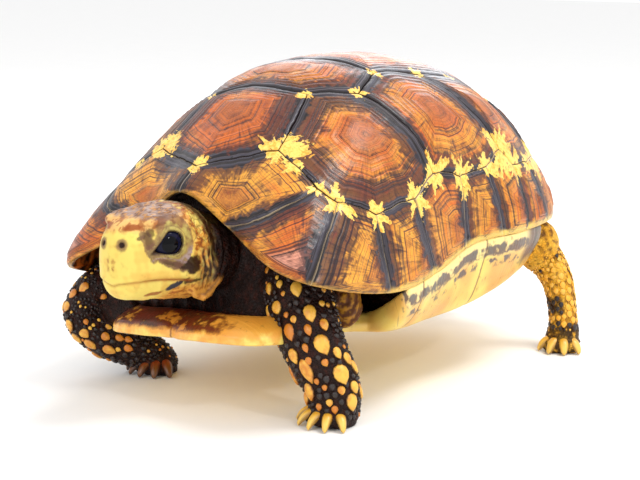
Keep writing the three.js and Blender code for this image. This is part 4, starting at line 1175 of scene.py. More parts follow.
FLESH = [  # swellings at the right arm's root and the left thigh: the box, middle, half sizes, fillet
    ((-56, -80, 14), (-30, -56, 38), (-42.5, -69, 25.5), (10, 8.5, 7.5), 3.0),
    ((38, 52, 30), (60, 73, 53), (49.5, 62.5, 42.5), (8, 7.5, 7.5), 4.0),
]
# Where a leg's folds of skin are deepest: share along it, width, depth.
GRIPS = {"fore": [(0.3, 0.16, 0.75), (0.88, 0.06, 0.5)], "hind": [(0.3, 0.14, 0.8), (0.84, 0.07, 0.9)]}


def skin_surface():
    """The whole skin: trunk, neck, head, limbs and tail as one surface."""
    axes = (axis((-72, -21, MEDIUM), (-21, 23, FINE), (23, 74, MEDIUM)),
            axis((-121, -80, FINE), (-80, -46, MEDIUM), (-46, 30, COARSE), (30, 94, 0.72)),
            axis((-0.9, 37, MEDIUM), (37, 74, FINE), (74, 112, COARSE)))
    field = np.full([len(line) for line in axes], CLEAR, np.float32)
    blended(field, axes, (-70, -95, 20), (70, 95, 112), trunk_field, 0.5, 2.2)
    blended(field, axes, (-20, -88, 32), (22, -36, 72),
            lambda points: limb_field(NECK, points, 9, [(0.75, 0.35, 0.85)]), 3.0)
    blended(field, axes, (-21, -121, 30), (24, -74, 76), head_field, 2.0)
    blended(field, axes, (-46, -84, 24), (14, -54, 46), chest_field, 3.0)
    for low, high, middle, half, width in FLESH:
        blended(field, axes, low, high, lambda points: swelling(points, middle, half), width)
    blended(field, axes, (34, -64, 24), (58, -44, 52), armpit_field, 0.8)
    for name, limb in LIMBS.items():
        size = max(limb.broad.max(), limb.thin.max()) + 5
        blended(field, axes, limb.at.min(0) - size, limb.at.max(0) + size,
                lambda points: limb_field(limb, points, 11, GRIPS[name[:4]]), 3.0)
        foot = limb.frame(FOOT_SHARE)[0]
        blended(field, axes, foot - [17, 17, 8], foot + [17, 17, 10],
                lambda points: foot_field(name, points), 1.6)
    blended(field, axes, (-10, 44, 8), (10, 97, 52),
            lambda points: limb_field(TAIL, points, 14, [(0.5, 0.4, 0.35)]), 3.0)
    field = np.maximum(field, 0.03 - axes[2].astype(np.float32))  # flat soles, just over the floor
    return surface(field, axes)


def read(items, key, kind=np.float32):
    """One number of each of a mesh's vertices, loops or faces, or three for a vector."""
    width = 3 if key in ("co", "vector") else 1
    flat = np.empty(width * len(items), kind)
    items.foreach_get(key, flat)
    return flat.reshape(-1, width) if width > 1 else flat


def thinned(points, quads, share):
    """Points and faces of a surface with fewer faces, which are all taken away behind the head."""
    item = new_mesh("hide_draft", points, [quads])
    away = item.vertex_groups.new(name="away")
    away.add(np.nonzero(points[:, 1] > HEAD_BACK)[0].tolist(), 1.0, "REPLACE")
    modifier = item.modifiers.new("thin", "DECIMATE")
    modifier.ratio, modifier.vertex_group = share, "away"
    mesh = item.evaluated_get(bpy.context.evaluated_depsgraph_get()).to_mesh()
    places = read(mesh.vertices, "co").astype(float) * 1000 - SHIFT
    corners, sizes = read(mesh.loops, "vertex_index", np.int32), read(mesh.polygons, "loop_total", np.int32)
    starts = np.cumsum(sizes) - sizes
    faces = [corners[starts[sizes == n][:, None] + np.arange(n)] for n in (3, 4)]
    draft = item.data
    bpy.data.objects.remove(item)
    bpy.data.meshes.remove(draft)
    return places, faces


def limb_shares(points):
    """For each point the nearest limb's number, the share along it, the angle about it, and the distance."""
    near = np.full(len(points), 1e9)
    which = np.zeros(len(points), int)
    share, angle = np.zeros((2, len(points)))
    for i, limb in enumerate(LIMBS.values()):
        distance, at, turn = limb.locate(points)
        closer = distance < near
        near[closer], which[closer] = distance[closer], i
        share[closer], angle[closer] = at[closer], turn[closer]
    return which, share, angle, near


def painted(look, first, layers):
    """Colours laid in order over the first: the name of each, and its share at every point."""
    total = np.array(getattr(look, first))
    for key, mask in layers:
        total = mix(total, np.array(getattr(look, key)), np.clip(mask, 0, 1)[:, None])
    return total


# Marks of the face: colour, place back and up from the eye, half lengths, slope, strength.
FACE_SPOTS = [
    ("face_rust", -11.4, 6.0, 2.6, 0.8, 0.15, 0.9), ("face_rust", -5.0, 7.2, 2.6, 1.0, 0.2, 0.8),
    ("face_dark", -10.4, 2.9, 1.5, 0.6, 0.3, 0.75), ("face_dark", -7.3, 4.2, 1.0, 1.5, 0.0, 0.7),
    ("face_brown", -8.6, 0.6, 1.9, 4.6, -0.6, 0.8), ("face_dark", -8.4, 1.2, 1.2, 3.4, -0.6, 0.5),
    ("face_dark", -8.0, -2.6, 0.6, 2.2, 0.3, 0.5), ("face_yellow", 12.0, 6.0, 2.8, 1.8, -0.3, 0.9),
    ("face_yellow", 8.6, 2.0, 1.2, 2.6, -0.2, 0.5), ("face_brown", -0.6, -7.0, 6.2, 1.3, -0.42, 0.9),
    ("face_dark", 0.4, -7.0, 4.8, 0.9, -0.36, 0.6), ("face_dark", 3.2, -7.4, 3.6, 1.5, -0.3, 0.8),
    ("face_dark", 6.9, -8.0, 3.3, 3.1, 0.0, 0.97), ("face_dark", 8.6, -13.6, 3.4, 0.6, 0.06, 0.9),
    ("face_dark", 5.4, -13.2, 0.8, 1.2, 0.0, 0.8), ("face_slate", 1.2, -14.2, 2.8, 1.15, 0.36, 1.0),
    ("face_rust", -5.0, -16.3, 2.7, 0.8, 0.06, 0.85), ("face_rust", 4.0, -16.8, 2.6, 0.5, 0.2, 0.7),
]


def face_colours(local, cloud, mottle, crisp, look):
    """The head's colours, and where its crown is."""
    x, y, z = np.abs(local[:, 0]), local[:, 1], local[:, 2]
    rough = 0.35 * mottle + 0.2 * crisp
    streaks = ripple(local * [0.34, 0.1, 0.2], 1.0, 64)
    brow = smooth(z + rough, 3.6, 5.6) * smooth(y, -16, -13)
    crown = smooth(z - 0.06 * np.abs(y + 2) + 0.8 * rough, 7.4, 8.8)
    rear = smooth(y + rough, 6.2, 8.6) * smooth(z, -12, -7)
    folds = smooth(y, 10.2, 11.4) * smooth(z, -2, -5) * smooth(z, -17, -13)
    ridges = np.sin((y + 0.16 * z + 0.5 * np.sin(z * 0.7)) * 2.3 + 0.8 * mottle - 2.0)
    layers = [
        ("face_amber", smooth(cloud, -0.1, 0.7) * 0.35),
        ("face_tan", brow * 0.75), ("face_rust", brow * smooth(streaks + rough, 0.1, 0.5) * 0.75),
        ("face_lilac", crown * 0.9), ("face_brown", crown * smooth(streaks - rough, -0.25, 0.3) * 0.9),
        ("face_amber", crown * smooth(mottle - crisp, 0.3, 0.7) * 0.6),
        ("face_amber", rear * (1 - 0.7 * crown)),
        ("face_rust", rear * smooth(mottle + 0.5 * crisp, -0.15, 0.25) * 0.85),
        ("face_yellow", rear * smooth(crisp - mottle, 0.35, 0.7) * 0.6),
        ("face_amber", smooth(z, -13, -16) * smooth(y, -4, 3) * 0.9),
        ("face_rust", smooth(z, -12, -16) * smooth(y, -3, 3) * smooth(mottle + crisp, 0.2, 0.6) * 0.7),
        ("face_brown", folds * 0.85), ("face_dark", folds * smooth(ridges + rough, -0.3, -0.8) * 0.9),
        ("face_amber", folds * smooth(ridges + 2 * rough, 0.1, 0.9) * 0.9),
        ("lid_olive", folds * smooth(ridges - 2 * rough, 0.4, 1.0) * 0.8)]
    for key, at, height, half, tall, slope, strength in FACE_SPOTS:
        spot = np.hypot((y - at) / half, (z - height - slope * (y - at)) / tall) + 0.5 * rough
        layers.append((key, smooth(spot, 1.2, 0.85) * smooth(x, 2.0, 3.5) * strength))
    line = beak_edge(x, y)
    tip = bell(x - 1.0 + crisp * 0.3, 0, 0.5) * np.maximum(bell(z + 4.6, 0, 0.8), bell(z + 6.9, 0, 0.9))
    nostril = np.sqrt((x - 3.9) ** 2 + (y + 15.4) ** 2 + (z - 0.9) ** 2)
    outside, radius = eye_opening(local[:, 0], y, z)
    lids = radius < LID_REACH
    turn = np.hypot(y - 13.5, z + 12.5)
    flap = smooth(np.hypot(y - 15, z + 14.5), 9.5, 8.5) * smooth(turn, 5.4, 6.4) * smooth(z, -8, -11)
    back = np.clip(smooth(y + 0.35 * z + rough, 13.5, 17.5) - flap, 0, 1)
    rows = bell(np.sin((y + 0.3 * z) * 1.7), 1, 0.25) * smooth(mottle, -0.2, 0.5)
    layers += [
        ("face_rust", bell(z - line, 0, 0.5) * smooth(y, 9, 7) * mix(0.5, 0.85, smooth(y, -12, -6))),
        ("face_amber", smooth(np.abs(z - line - 1.5) + rough, 2.2, 0.6) * smooth(y, -14, -9)
         * smooth(y, 1, -4) * 0.4),
        ("face_rust", tip * smooth(y, -14.5, -15.5) * 0.9),
        ("face_brown", smooth(nostril + 0.4 * rough, 2.5, 1.6) * 0.8),
        ("face_dark", smooth(nostril, 1.2, 0.9)),
        ("face_brown", lids * smooth(outside + 0.2 * rough, 0.95, 0.75) * 0.7),
        ("lid_pink", lids * bell(outside + 0.1 * rough, 0.49, 0.045) * smooth(z, 0, -2.5) * 0.75),
        ("lid_olive", lids * smooth(outside + 0.1 * rough, 0.4, 0.31) * 0.95),
        ("face_yellow", lids * smooth(outside, 0.36, 0.2) * smooth(y, 1, 4) * 0.7),
        ("face_brown", lids * smooth(outside, 0.5, 0.2) * smooth(y, -3, -6) * 0.7),
        ("face_brown", lids * bell(outside, 0.24, 0.035) * 0.7),
        ("face_brown", lids * smooth(mottle + crisp, 0.1, 0.7) * smooth(outside, 0.9, 0.4) * 0.45),
        ("face_dark", lids * smooth(outside, 0.08, 0.02) * 0.9),
        ("face_amber", flap * smooth(y, 11, 14) * 0.95),
        ("face_brown", flap * smooth(y, 11, 14) * bell(turn + rough * 0.5, 6.6, 0.35) * 0.7),
        ("skin_dark", back * 0.92), ("lid_olive", back * rows * 0.5)]
    return painted(look, "face_yellow", layers), crown


def skin_marks(points, look):
    """The skin's colours and the masks for its scales, worked out from places on the body."""
    local = in_head(points)
    y, z = local[:, 1], local[:, 2]
    cloud, mottle, crisp = (ripple(points / 10, *pair) for pair in ((1.1, 61), (3.2, 62), (6.0, 63)))
    which, share, angle, near = limb_shares(points)
    fold = smooth(armpit_field(points), 1.2, 0.3)
    wrinkles = smooth(np.sin(armpit_rings(points) * 2.6 + 1.6 * mottle) + 0.8 * crisp, -0.2, 1.2)
    dark = painted(look, "skin_dark", [
        ("skin_rust", smooth(mottle, 0.1, 0.8) * 0.6), ("skin_brown", fold),
        ("skin_ochre", fold * wrinkles * 0.4)])
    # Hind legs and tail are paler, with a dark ankle and toes.
    hind = smooth(near, 5, 2) * (which >= 2)
    tail_distance, tail_share, _ = TAIL.locate(points)
    tail = smooth(tail_distance, 5, 2) * (tail_share > 0.1)
    pale = np.maximum(hind, tail)
    ankle = smooth(np.abs(share - ANKLE) + 0.03 * mottle, 0.06, 0.03) * smooth(angle, 1.4, 1.9)
    toes = smooth(share, TOES, TOES + 0.03) + bell(share, 0.625, 0.008)
    ochre = painted(look, "skin_ochre", [
        ("scale_yellow", smooth(cloud, -0.6, 0.4) * 0.8),
        ("skin_brown", smooth(crisp + mottle, 0.75, 1.0) * 0.8),
        ("skin_rust", smooth(mottle - cloud, 0.5, 0.8) * 0.5),
        ("skin_dark", hind * np.clip(ankle + toes, 0, 1) * smooth(mottle, -0.9, -0.2) * 0.92)])
    total = mix(dark, ochre, (pale * smooth(share + tail, 0.08, 0.2))[:, None])
    face = smooth(head_field(points), 1.6, 0.5) * smooth(y, 26.5, 24)
    skin, crown = face_colours(local, cloud, mottle, crisp, look)
    neck = smooth(y, 21, 27) * smooth(near, 2, 6)
    plates = face * np.maximum(smooth(y, 6.5, 10) * smooth(z, -4, 0), crown * smooth(y, -4, 4) * 0.6)
    pebbles = np.clip(1 - face - fold, 0, 1) * (1 - neck * 0.3)
    masks = {"face": face, "plates": plates, "pebbles": pebbles, "hind": pale}
    return mix(total, skin, face[:, None]), masks


PLATE_EDGE = (0.09, 0.035, 0.015, 1)
SKIN_SHADE, PEBBLE_SHADE = (0.02, 0.008, 0.005, 1), (0.02, 0.008, 0.006, 1)


def skin_material():
    h = Shader("tortoise_skin")
    tint_of = h.add("ShaderNodeAttribute", {"attribute_name": "tint"}, output="Color")
    face, plates, pebbles, hind = h.attributes("face plates pebbles hind")
    large = h.cells(330, "DISTANCE_TO_EDGE", h.shifted(0.0012, 500))
    small = h.cells(780, "DISTANCE_TO_EDGE", h.shifted(0.0006, 900))
    patch = h.noise(500, 4.0)
    grain = h.noise(2200, 2.0)
    base = h.mix(large.step(0.08, 0.02) * plates * 0.4, tint_of, PLATE_EDGE)
    base = h.mix((patch * 2).step(0.1, 0.6) * (1 - face * 0.65) * (1 - hind) * 0.5, base, SKIN_SHADE)
    bead = small.step(0.03, 0.22)
    base = h.mix((1 - bead) * pebbles * (0.6 - hind * 0.4), base, PEBBLE_SHADE)
    height = large.step(0.0, 0.14) * plates * 0.9 + bead * pebbles * 0.9 + patch * 0.35 + grain * 0.12
    rough = 0.5 - face * 0.08 + patch * 0.2
    return h.finish(base, rough, height, 0.00035, 0.85, Specular_IOR_Level=0.2)


# ---- Eyes and claws ----

def eyeball(side, rows=40, columns=64):
    """A ball with a slightly raised cornea, and the angle from its pupil for its colours."""
    polar = np.linspace(0, pi, rows + 2)[1:-1]
    turn = np.arange(columns) / columns * 2 * pi
    radius = EYE_RADIUS + 0.12 * bell(np.degrees(polar), 0, 34)
    ring = np.stack([np.sin(polar)[:, None] * np.cos(turn), np.sin(polar)[:, None] * np.sin(turn),
                     np.cos(polar)[:, None] + 0 * turn], -1) * radius[:, None, None]
    points = np.concatenate([ring.reshape(-1, 3), [[0, 0, radius[0]], [0, 0, -radius[-1]]]])
    a = radians(GAZE)
    gaze = np.array([sin(a) * side, -cos(a), 0.02])
    right = unit(np.cross([0, 0, 1], gaze))
    points = points @ np.stack([right, np.cross(gaze, right), gaze])
    points = (points + [side * EYE_SIDE, 0, 0]) @ HEAD_TURN.T + HEAD_PLACE
    return points, ring_faces(rows, columns), {
        "polar": np.concatenate([np.repeat(np.degrees(polar), columns), [0, 180]])}


def eye_material(look):
    h = Shader("eye_gloss")
    polar = h.attribute("polar")
    wave = h.noise(900, 3.0)
    base = h.mix((polar + wave * 6).step(24, 30), look.pupil, look.iris)
    base = h.mix((polar + wave * 3).step(46, 52), base, look.pupil)
    return h.finish(base, 0.09 + wave * 0.02, Specular_IOR_Level=0.13)


def claw(foot, heading, reach, radius, length, growth, rows=18, columns=20):
    """A broad claw, curved down to the floor."""
    a = radians(heading)
    ahead = np.array([sin(a), -cos(a), 0])
    side = np.array([-ahead[1], ahead[0], 0])
    place = lambda distance, height: np.append((foot + ahead * (reach + distance))[:2], height)
    stop = length * growth
    a, b, c = place(-2.6, 4.1), place(stop * 0.3, 4.9), place(stop * 0.52, 0.25)
    t = np.linspace(0, 1, rows)[:, None]
    at = a * (1 - t) ** 2 + 2 * b * t * (1 - t) + c * t * t
    along = unit(2 * (b - a) * (1 - t) + 2 * (c - b) * t)
    up = np.cross(along, side)
    turn = np.arange(columns) / columns * 2 * pi
    size = radius * (1 - 0.68 * t ** 2.2) * np.minimum(1, np.sqrt(np.maximum(1.0001 - t, 0) / 0.07))
    flat = np.where(np.sin(turn) < 0, 0.6, 0.92)
    rings = (at[:, None, :] + side * (size * 0.98 * np.cos(turn))[..., None]
             + up[:, None, :] * (size * flat * np.sin(turn))[..., None])
    points = np.concatenate([rings.reshape(-1, 3), [a, at[-1] + along[-1] * 0.1]])
    points[:, 2] = np.maximum(points[:, 2], 0.03)
    values = {"claw": np.concatenate([np.repeat(t[:, 0], columns), [0, 1]]),
              "turn": np.concatenate([np.tile(np.cos(turn), rows), [0, 0]])}
    return points, ring_faces(rows, columns), values


def claws_of(name, growth):
    count, first, last, reach, radius, length = CLAWS[name]
    foot = LIMBS[name].frame(FOOT_SHARE)[0]
    return merged([claw(foot, heading, reach, radius, length, growth)
                   for heading in np.linspace(first, last, count)])


def claw_material(name, root, tip, brown):
    h = Shader(name)
    along, turn = h.attributes("claw turn")
    grain = h.noise(1500, 3.0)
    fibres = h.noise(1.0, 3.0, h.vector(turn * 9.0, along * 1.2))
    base = h.mix((along + fibres * 0.5).step(0.3, 0.75), root, tip)
    base = h.mix((fibres * 2).step(0.1, 0.6) * 0.6, base, brown)
    base = h.mix((turn.size() + fibres * 0.6).step(0.62, 1.0) * 0.7, base, brown)
    base = h.mix(along.step(0.34, 0.14) * 0.85, base, brown)
    return h.finish(base, 0.35 + grain * 0.15, fibres + grain * 0.3, 0.00015, 0.7,
                    Coat_Weight=0.3, Coat_Roughness=0.2)


# ---- Scales of the legs ----

PATCH = 0.003  # how wide each scale's patch of the OFBake map is
SMALLEST_SCALE, LOWEST_SCALE = 0.3, 3.2  # least radius, and least height over the floor
SCALE_TRIES = 2600  # small scales tried on each limb
CORNERS = 12  # of a scale's outline


def flake():
    """One scale: broad at its root, pointed at its free end, domed, and sunk a little at its rim."""
    turn = np.arange(CORNERS) / CORNERS * 2 * pi
    x, y = 0.5 * np.sin(turn), -0.5 * np.cos(turn)
    x = x * (1 - 0.28 * smooth(y, 0.05, 0.5)) * (1 + 0.1 * smooth(y, 0.0, -0.4))
    y = np.where(np.abs(turn - pi) < 0.1, 0.56, y)
    points, middle = [], []
    for share, height, inner in ((0.98, -0.5, 0), (1.0, 0.12, 0.15), (0.8, 0.7, 0.55), (0.4, 0.96, 0.9)):
        points.append(np.stack([x * share, y * share, height + 0.22 * y * share], -1))
        middle += [inner] * CORNERS
    points = np.concatenate(points + [[[0, 0, -0.5], [0, 0.02, 1.0]]])
    mesh = bpy.data.meshes.new("scale_flake")
    faces = [face for group in ring_faces(4, CORNERS) for face in group.tolist()]
    mesh.from_pydata(points.tolist(), [], faces)
    layer = mesh.attributes.new("middle", "FLOAT", "POINT")
    layer.data.foreach_set("value", np.array(middle + [0, 1], np.float32))
    return shown("scale_flake", mesh)


def scale_plan(limb, given, small, seed):
    """Scales packed on a limb: the given large ones, then smaller ones fitted in between."""
    rng = np.random.RandomState(SEED + seed)
    plan = [(share, radians(angle), *rest) for share, angle, *rest in given]
    share = rng.uniform(0.16, 0.9, SCALE_TRIES)
    angle = rng.uniform(-pi, pi, SCALE_TRIES)
    radius, darkness = small(share, angle)
    radius = radius * rng.uniform(0.82, 1.15, SCALE_TRIES)
    tone = np.where(rng.uniform(0, 1, SCALE_TRIES) < darkness, -0.5, rng.uniform(0, 1, SCALE_TRIES))
    places = [limb.spot(*scale[:2]) for scale in plan]
    sizes = [(length + width) / 4 for _, _, length, width, _ in plan]
    for i in np.argsort(-radius):
        place = limb.spot(share[i], angle[i])
        if radius[i] <= SMALLEST_SCALE or place[2] < LOWEST_SCALE:
            continue
        if places:
            gap = norm(np.array(places) - place, axis=1)
            if (gap < (np.array(sizes) + radius[i]) * 0.98).any():
                continue
        places.append(place)
        sizes.append(radius[i])
        plan.append((share[i], angle[i], radius[i] * 2.15, radius[i] * 1.95, tone[i]))
    return plan


def scale_points(name, plan, spread):
    """A mesh of bare points that says where each scale stands, how it is turned and how large it is."""
    places, turns, sizes, tones, roots = [], [], [], [], []
    number = list(LIMBS).index(name)
    for share, angle, length, width, tone in plan:
        _, along, across, depth, broad, thin = LIMBS[name].frame(share)
        out = unit(across * cos(angle) / broad + depth * sin(angle) / thin)
        down = unit(along - out * (along @ out))
        places.append(LIMBS[name].spot(share, angle))
        turns.append(Matrix(np.stack([np.cross(down, out), down, out], -1).tolist()).to_euler())
        sizes.append((width / 1000, length / 1000, spread * (0.35 + 0.65 * min(length, 7) / 7)))
        tones.append(tone)
        roots.append((0.05 + 0.22 * number + 0.2 * (angle / (2 * pi) + 0.5), 0.05 + 0.9 * share, 0))
    mesh = bpy.data.meshes.new(name + "_scale_roots")
    mesh.from_pydata([tuple(p) for p in metres(np.array(places))], [], [])
    for key, kind, values in (("turn", "FLOAT_VECTOR", turns), ("size", "FLOAT_VECTOR", sizes),
                              ("root", "FLOAT_VECTOR", roots), ("tone", "FLOAT", tones)):
        layer = mesh.attributes.new(key, kind, "POINT")
        layer.data.foreach_set("value" if kind == "FLOAT" else "vector",
                               np.array(values, np.float32).ravel())
    return shown(name + "_scales", mesh)


def scale_tree():
    """Geometry Nodes that stand a scale on every root."""
    tree = bpy.data.node_groups.new("leg_scales", "GeometryNodeTree")
    tree.interface.new_socket("Geometry", in_out="OUTPUT", socket_type="NodeSocketGeometry")
    kinds = {"Roots": "Geometry", "Scale": "Object", "Height": "Float", "Material": "Material"}
    for name, kind in kinds.items():
        tree.interface.new_socket(name, in_out="INPUT", socket_type="NodeSocket" + kind)

    def node(kind, settings=None, links=None):
        made = tree.nodes.new(kind)
        for key, value in (settings or {}).items():
            setattr(made, key, value)
        for key, source in (links or {}).items():
            if hasattr(source, "node"):
                tree.links.new(source, made.inputs[key])
            else:
                made.inputs[key].default_value = source
        return made

    given = node("NodeGroupInput").outputs
    form = node("GeometryNodeObjectInfo", None, {"Object": given["Scale"]}).outputs["Geometry"]
    turn = node("GeometryNodeInputNamedAttribute", {"data_type": "FLOAT_VECTOR"}, {"Name": "turn"})
    size = node("GeometryNodeInputNamedAttribute", {"data_type": "FLOAT_VECTOR"}, {"Name": "size"})
    tall = node("ShaderNodeCombineXYZ", None, {"X": 1.0, "Y": 1.0, "Z": given["Height"]})
    sized = node("ShaderNodeVectorMath", {"operation": "MULTIPLY"},
                 {0: size.outputs["Attribute"], 1: tall.outputs[0]})
    stood = node("GeometryNodeInstanceOnPoints", None,
                 {"Points": given["Roots"], "Instance": form, "Rotation": turn.outputs["Attribute"],
                  "Scale": sized.outputs[0]})
    real = node("GeometryNodeRealizeInstances", None, {"Geometry": stood.outputs[0]})
    painted = node("GeometryNodeSetMaterial", None,
                   {"Geometry": real.outputs[0], "Material": given["Material"]})
    smoothed = node("GeometryNodeSetShadeSmooth", None, {"Geometry": painted.outputs[0]})
    node("NodeGroupOutput", None, {"Geometry": smoothed.outputs[0]})
    return tree


def stood_up(roots, tree, form, height, material):
    """Runs the tree on the roots and gives back one plain mesh object with its OFBake map."""
    modifier = roots.modifiers.new("leg_scales", "NODES")
    modifier.node_group = tree
    values = {"Scale": form, "Height": height, "Material": material}
    for socket in tree.interface.items_tree:
        if socket.in_out == "INPUT" and socket.name in values:
            modifier[socket.identifier] = values[socket.name]
    evaluated = roots.evaluated_get(bpy.context.evaluated_depsgraph_get())
    mesh = bpy.data.meshes.new_from_object(evaluated)
    roots.modifiers.clear()
    old, name = roots.data, roots.name
    bpy.data.objects.remove(roots)
    bpy.data.meshes.remove(old)
    if not mesh.vertices:
        raise RuntimeError(name + " has no scales")
    root = read(mesh.attributes["root"].data, "vector")[:, :2]
    flat = read(form.data.vertices, "co")[:, :2].astype(float)
    share = (flat - flat.min(0)) / (flat.max(0) - flat.min(0)) - 0.5
    uv = root + np.tile(share, (len(root) // len(flat), 1)) * PATCH
    layer = mesh.uv_layers.new(name="OFBake")
    corner = read(mesh.loops, "vertex_index", np.int32)
    layer.data.foreach_set("uv", uv[corner].astype(np.float32).ravel())
    return shown(name, mesh)


def scale_material(name, first, second, rim, dark):
    """Horny scales, lighter in their middles and dark at their rims."""
    h = Shader(name)
    tone, middle = h.attributes("tone middle")
    patch = h.noise(420, 4.0)
    grain = h.noise(1500, 3.0)
    base = h.mix((tone + patch * 1.3).step(0.2, 0.85), first, second)
    base = h.mix(tone.step(-0.2, -0.3), base, dark)
    base = h.mix((middle + patch * 0.5 + grain * 0.3).step(0.42, 0.08) * 0.9, base, rim)
    base = h.mix((grain + patch).step(0.3, 0.55) * 0.4, base, rim)
    height = patch * 0.8 + grain * 0.5 + h.lines(middle * 7.0 + patch) * 0.6
    return h.finish(base, 0.4 + grain * 0.2, height, 0.0002, 0.8, Coat_Weight=0.2, Coat_Roughness=0.3)


def fore_scales(share, angle):
    """Radius in mm of the small scales between a foreleg's large ones, and how many of them are dark."""
    front = bell(np.degrees(angle), 62, 62)
    ends = smooth(share, 0.18, 0.3) * smooth(share, 0.92, 0.8)
    return (0.55 + 0.6 * front) * (0.6 + 0.4 * ends), 0.82


def right_scales(share, angle):
    return 0.5 + 0.45 * smooth(share, 0.4, 0.6) * smooth(share, 0.8, 0.7), 0.9


def hind_scales(share, angle):
    ends = smooth(share, 0.24, 0.4) * smooth(share, 0.74, 0.7)
    ankle = (np.abs(share - ANKLE) < 0.045) & (angle > 1.5)
    dark = np.where(ankle | (share > TOES), 0.9, 0.04)
    return (0.7 + 0.45 * bell(np.degrees(angle), 60, 70)) * ends, dark


LARGE_SCALES = {  # share along the limb, degrees round it, length, width, tone
    "foreleg_left": [
        (0.19, 128, 3.6, 2.8, 0.3), (0.24, 80, 2.6, 2.9, 0.5), (0.25, 122, 5.0, 3.2, 0.6),
        (0.26, 96, 3.2, 2.7, 0.8), (0.29, 67, 5.8, 4.2, 0.8), (0.31, 110, 4.9, 4.9, 0.6),
        (0.3, 142, 5.4, 3.6, 0.6), (0.36, 52, 6.1, 4.3, 0.7), (0.36, 82, 2.7, 2.7, 0.5),
        (0.37, 130, 6.6, 4.2, 0.6), (0.385, 96, 6.1, 4.2, 0.15), (0.4, 62, 4.1, 2.7, 0.2),
        (0.4, 31, 4.3, 3.0, 0.5), (0.45, 45, 7.0, 5.3, 0.7), (0.445, 106, 5.4, 3.8, 0.5),
        (0.44, 76, 3.2, 2.3, 0.2), (0.475, 80, 2.8, 2.6, 0.3), (0.5, 53, 2.7, 2.5, 0.3),
        (0.49, 22, 4.4, 2.8, 0.6), (0.5, 93, 8.6, 4.6, 0.5), (0.52, 2, 4.6, 3.0, 0.6),
        (0.555, 32, 6.8, 5.3, 0.7), (0.555, -14, 4.8, 3.0, 0.6), (0.585, 112, 6.4, 4.1, 0.5),
        (0.58, 74, 2.1, 2.0, 0.2), (0.61, 42, 3.1, 2.7, 0.5), (0.615, 8, 4.4, 3.4, 0.7),
        (0.68, 20, 6.2, 4.2, 0.7), (0.7, 96, 2.6, 2.4, 0.2), (0.71, 60, 3.0, 2.4, 0.3),
        (0.5, 150, 7.4, 3.6, 0.3), (0.66, 140, 5.0, 3.4, 0.4), (0.66, -25, 4.6, 3.4, 0.6)],
    "foreleg_right": [
        (0.3, 36, 4.4, 3.8, 0.4), (0.345, 55, 4.0, 3.8, 0.3), (0.39, 58, 4.0, 4.0, 0.5),
        (0.44, 50, 4.8, 3.8, 0.6), (0.485, 62, 4.8, 4.2, 0.7), (0.485, 22, 4.0, 4.0, 0.6),
        (0.53, 40, 5.4, 3.8, 0.5), (0.55, -36, 2.9, 2.9, 0.5), (0.56, -6, 3.6, 3.2, 0.4),
        (0.265, -21, 2.6, 2.4, 0.3), (0.62, -18, 3.5, 2.6, 0.3), (0.6, 24, 5.2, 3.8, 0.5),
        (0.655, -22, 3.2, 2.4, 0.1), (0.665, 2, 3.6, 2.8, 0.1), (0.44, -8, 2.4, 2.0, 0.1),
        (0.4, 92, 4.2, 3.8, 0.5), (0.49, 96, 4.4, 3.8, 0.5), (0.58, 76, 4.6, 3.8, 0.5)],
}


# ---- Stage ----

CAMERA_AZIMUTH, CAMERA_HEIGHT = 38.918, 10.756  # degrees round from the front, and above the floor
CAMERA_TARGET = np.array([6.088, -17.618, 48.612])
CAMERA_DISTANCE = 587.54
LENS, SENSOR = 90.49, 36.0


def aimed(item, place, target):
    """Turns a lamp or the camera to look from a place at a target, both in metres."""
    back = unit(np.asarray(place, float) - np.asarray(target, float))
    right = unit(np.cross([0, 0, 1], back))
    up = np.cross(back, right)
    rows = [[right[i], up[i], back[i], place[i]] for i in range(3)] + [[0, 0, 0, 1]]
    item.matrix_world = Matrix([list(map(float, row)) for row in rows])


LAMPS = {  # place in metres, width, watts, tint
    "key_light": ((0.42, 0.22, 1.0), 0.4, 6, (1, 0.98, 0.94)),
    "side_light": ((0.85, -0.22, 0.68), 0.09, 1.6, (1, 0.98, 0.95)),
    "front_light": ((0.1, -1.1, 0.7), 0.6, 3, (1, 0.99, 0.97)),
    "back_light": ((-0.55, 0.85, 0.55), 0.7, 3.8, (0.93, 0.95, 1)),
}
LAMP_AIM = (0, 0, 0.05)
ROOM_TINT, ROOM_STRENGTH = (0.99, 0.995, 1.0, 1), 1.04
PAPER_DARK, PAPER_LIGHT = (0.88, 0.875, 0.87, 1), (0.91, 0.905, 0.9, 1)


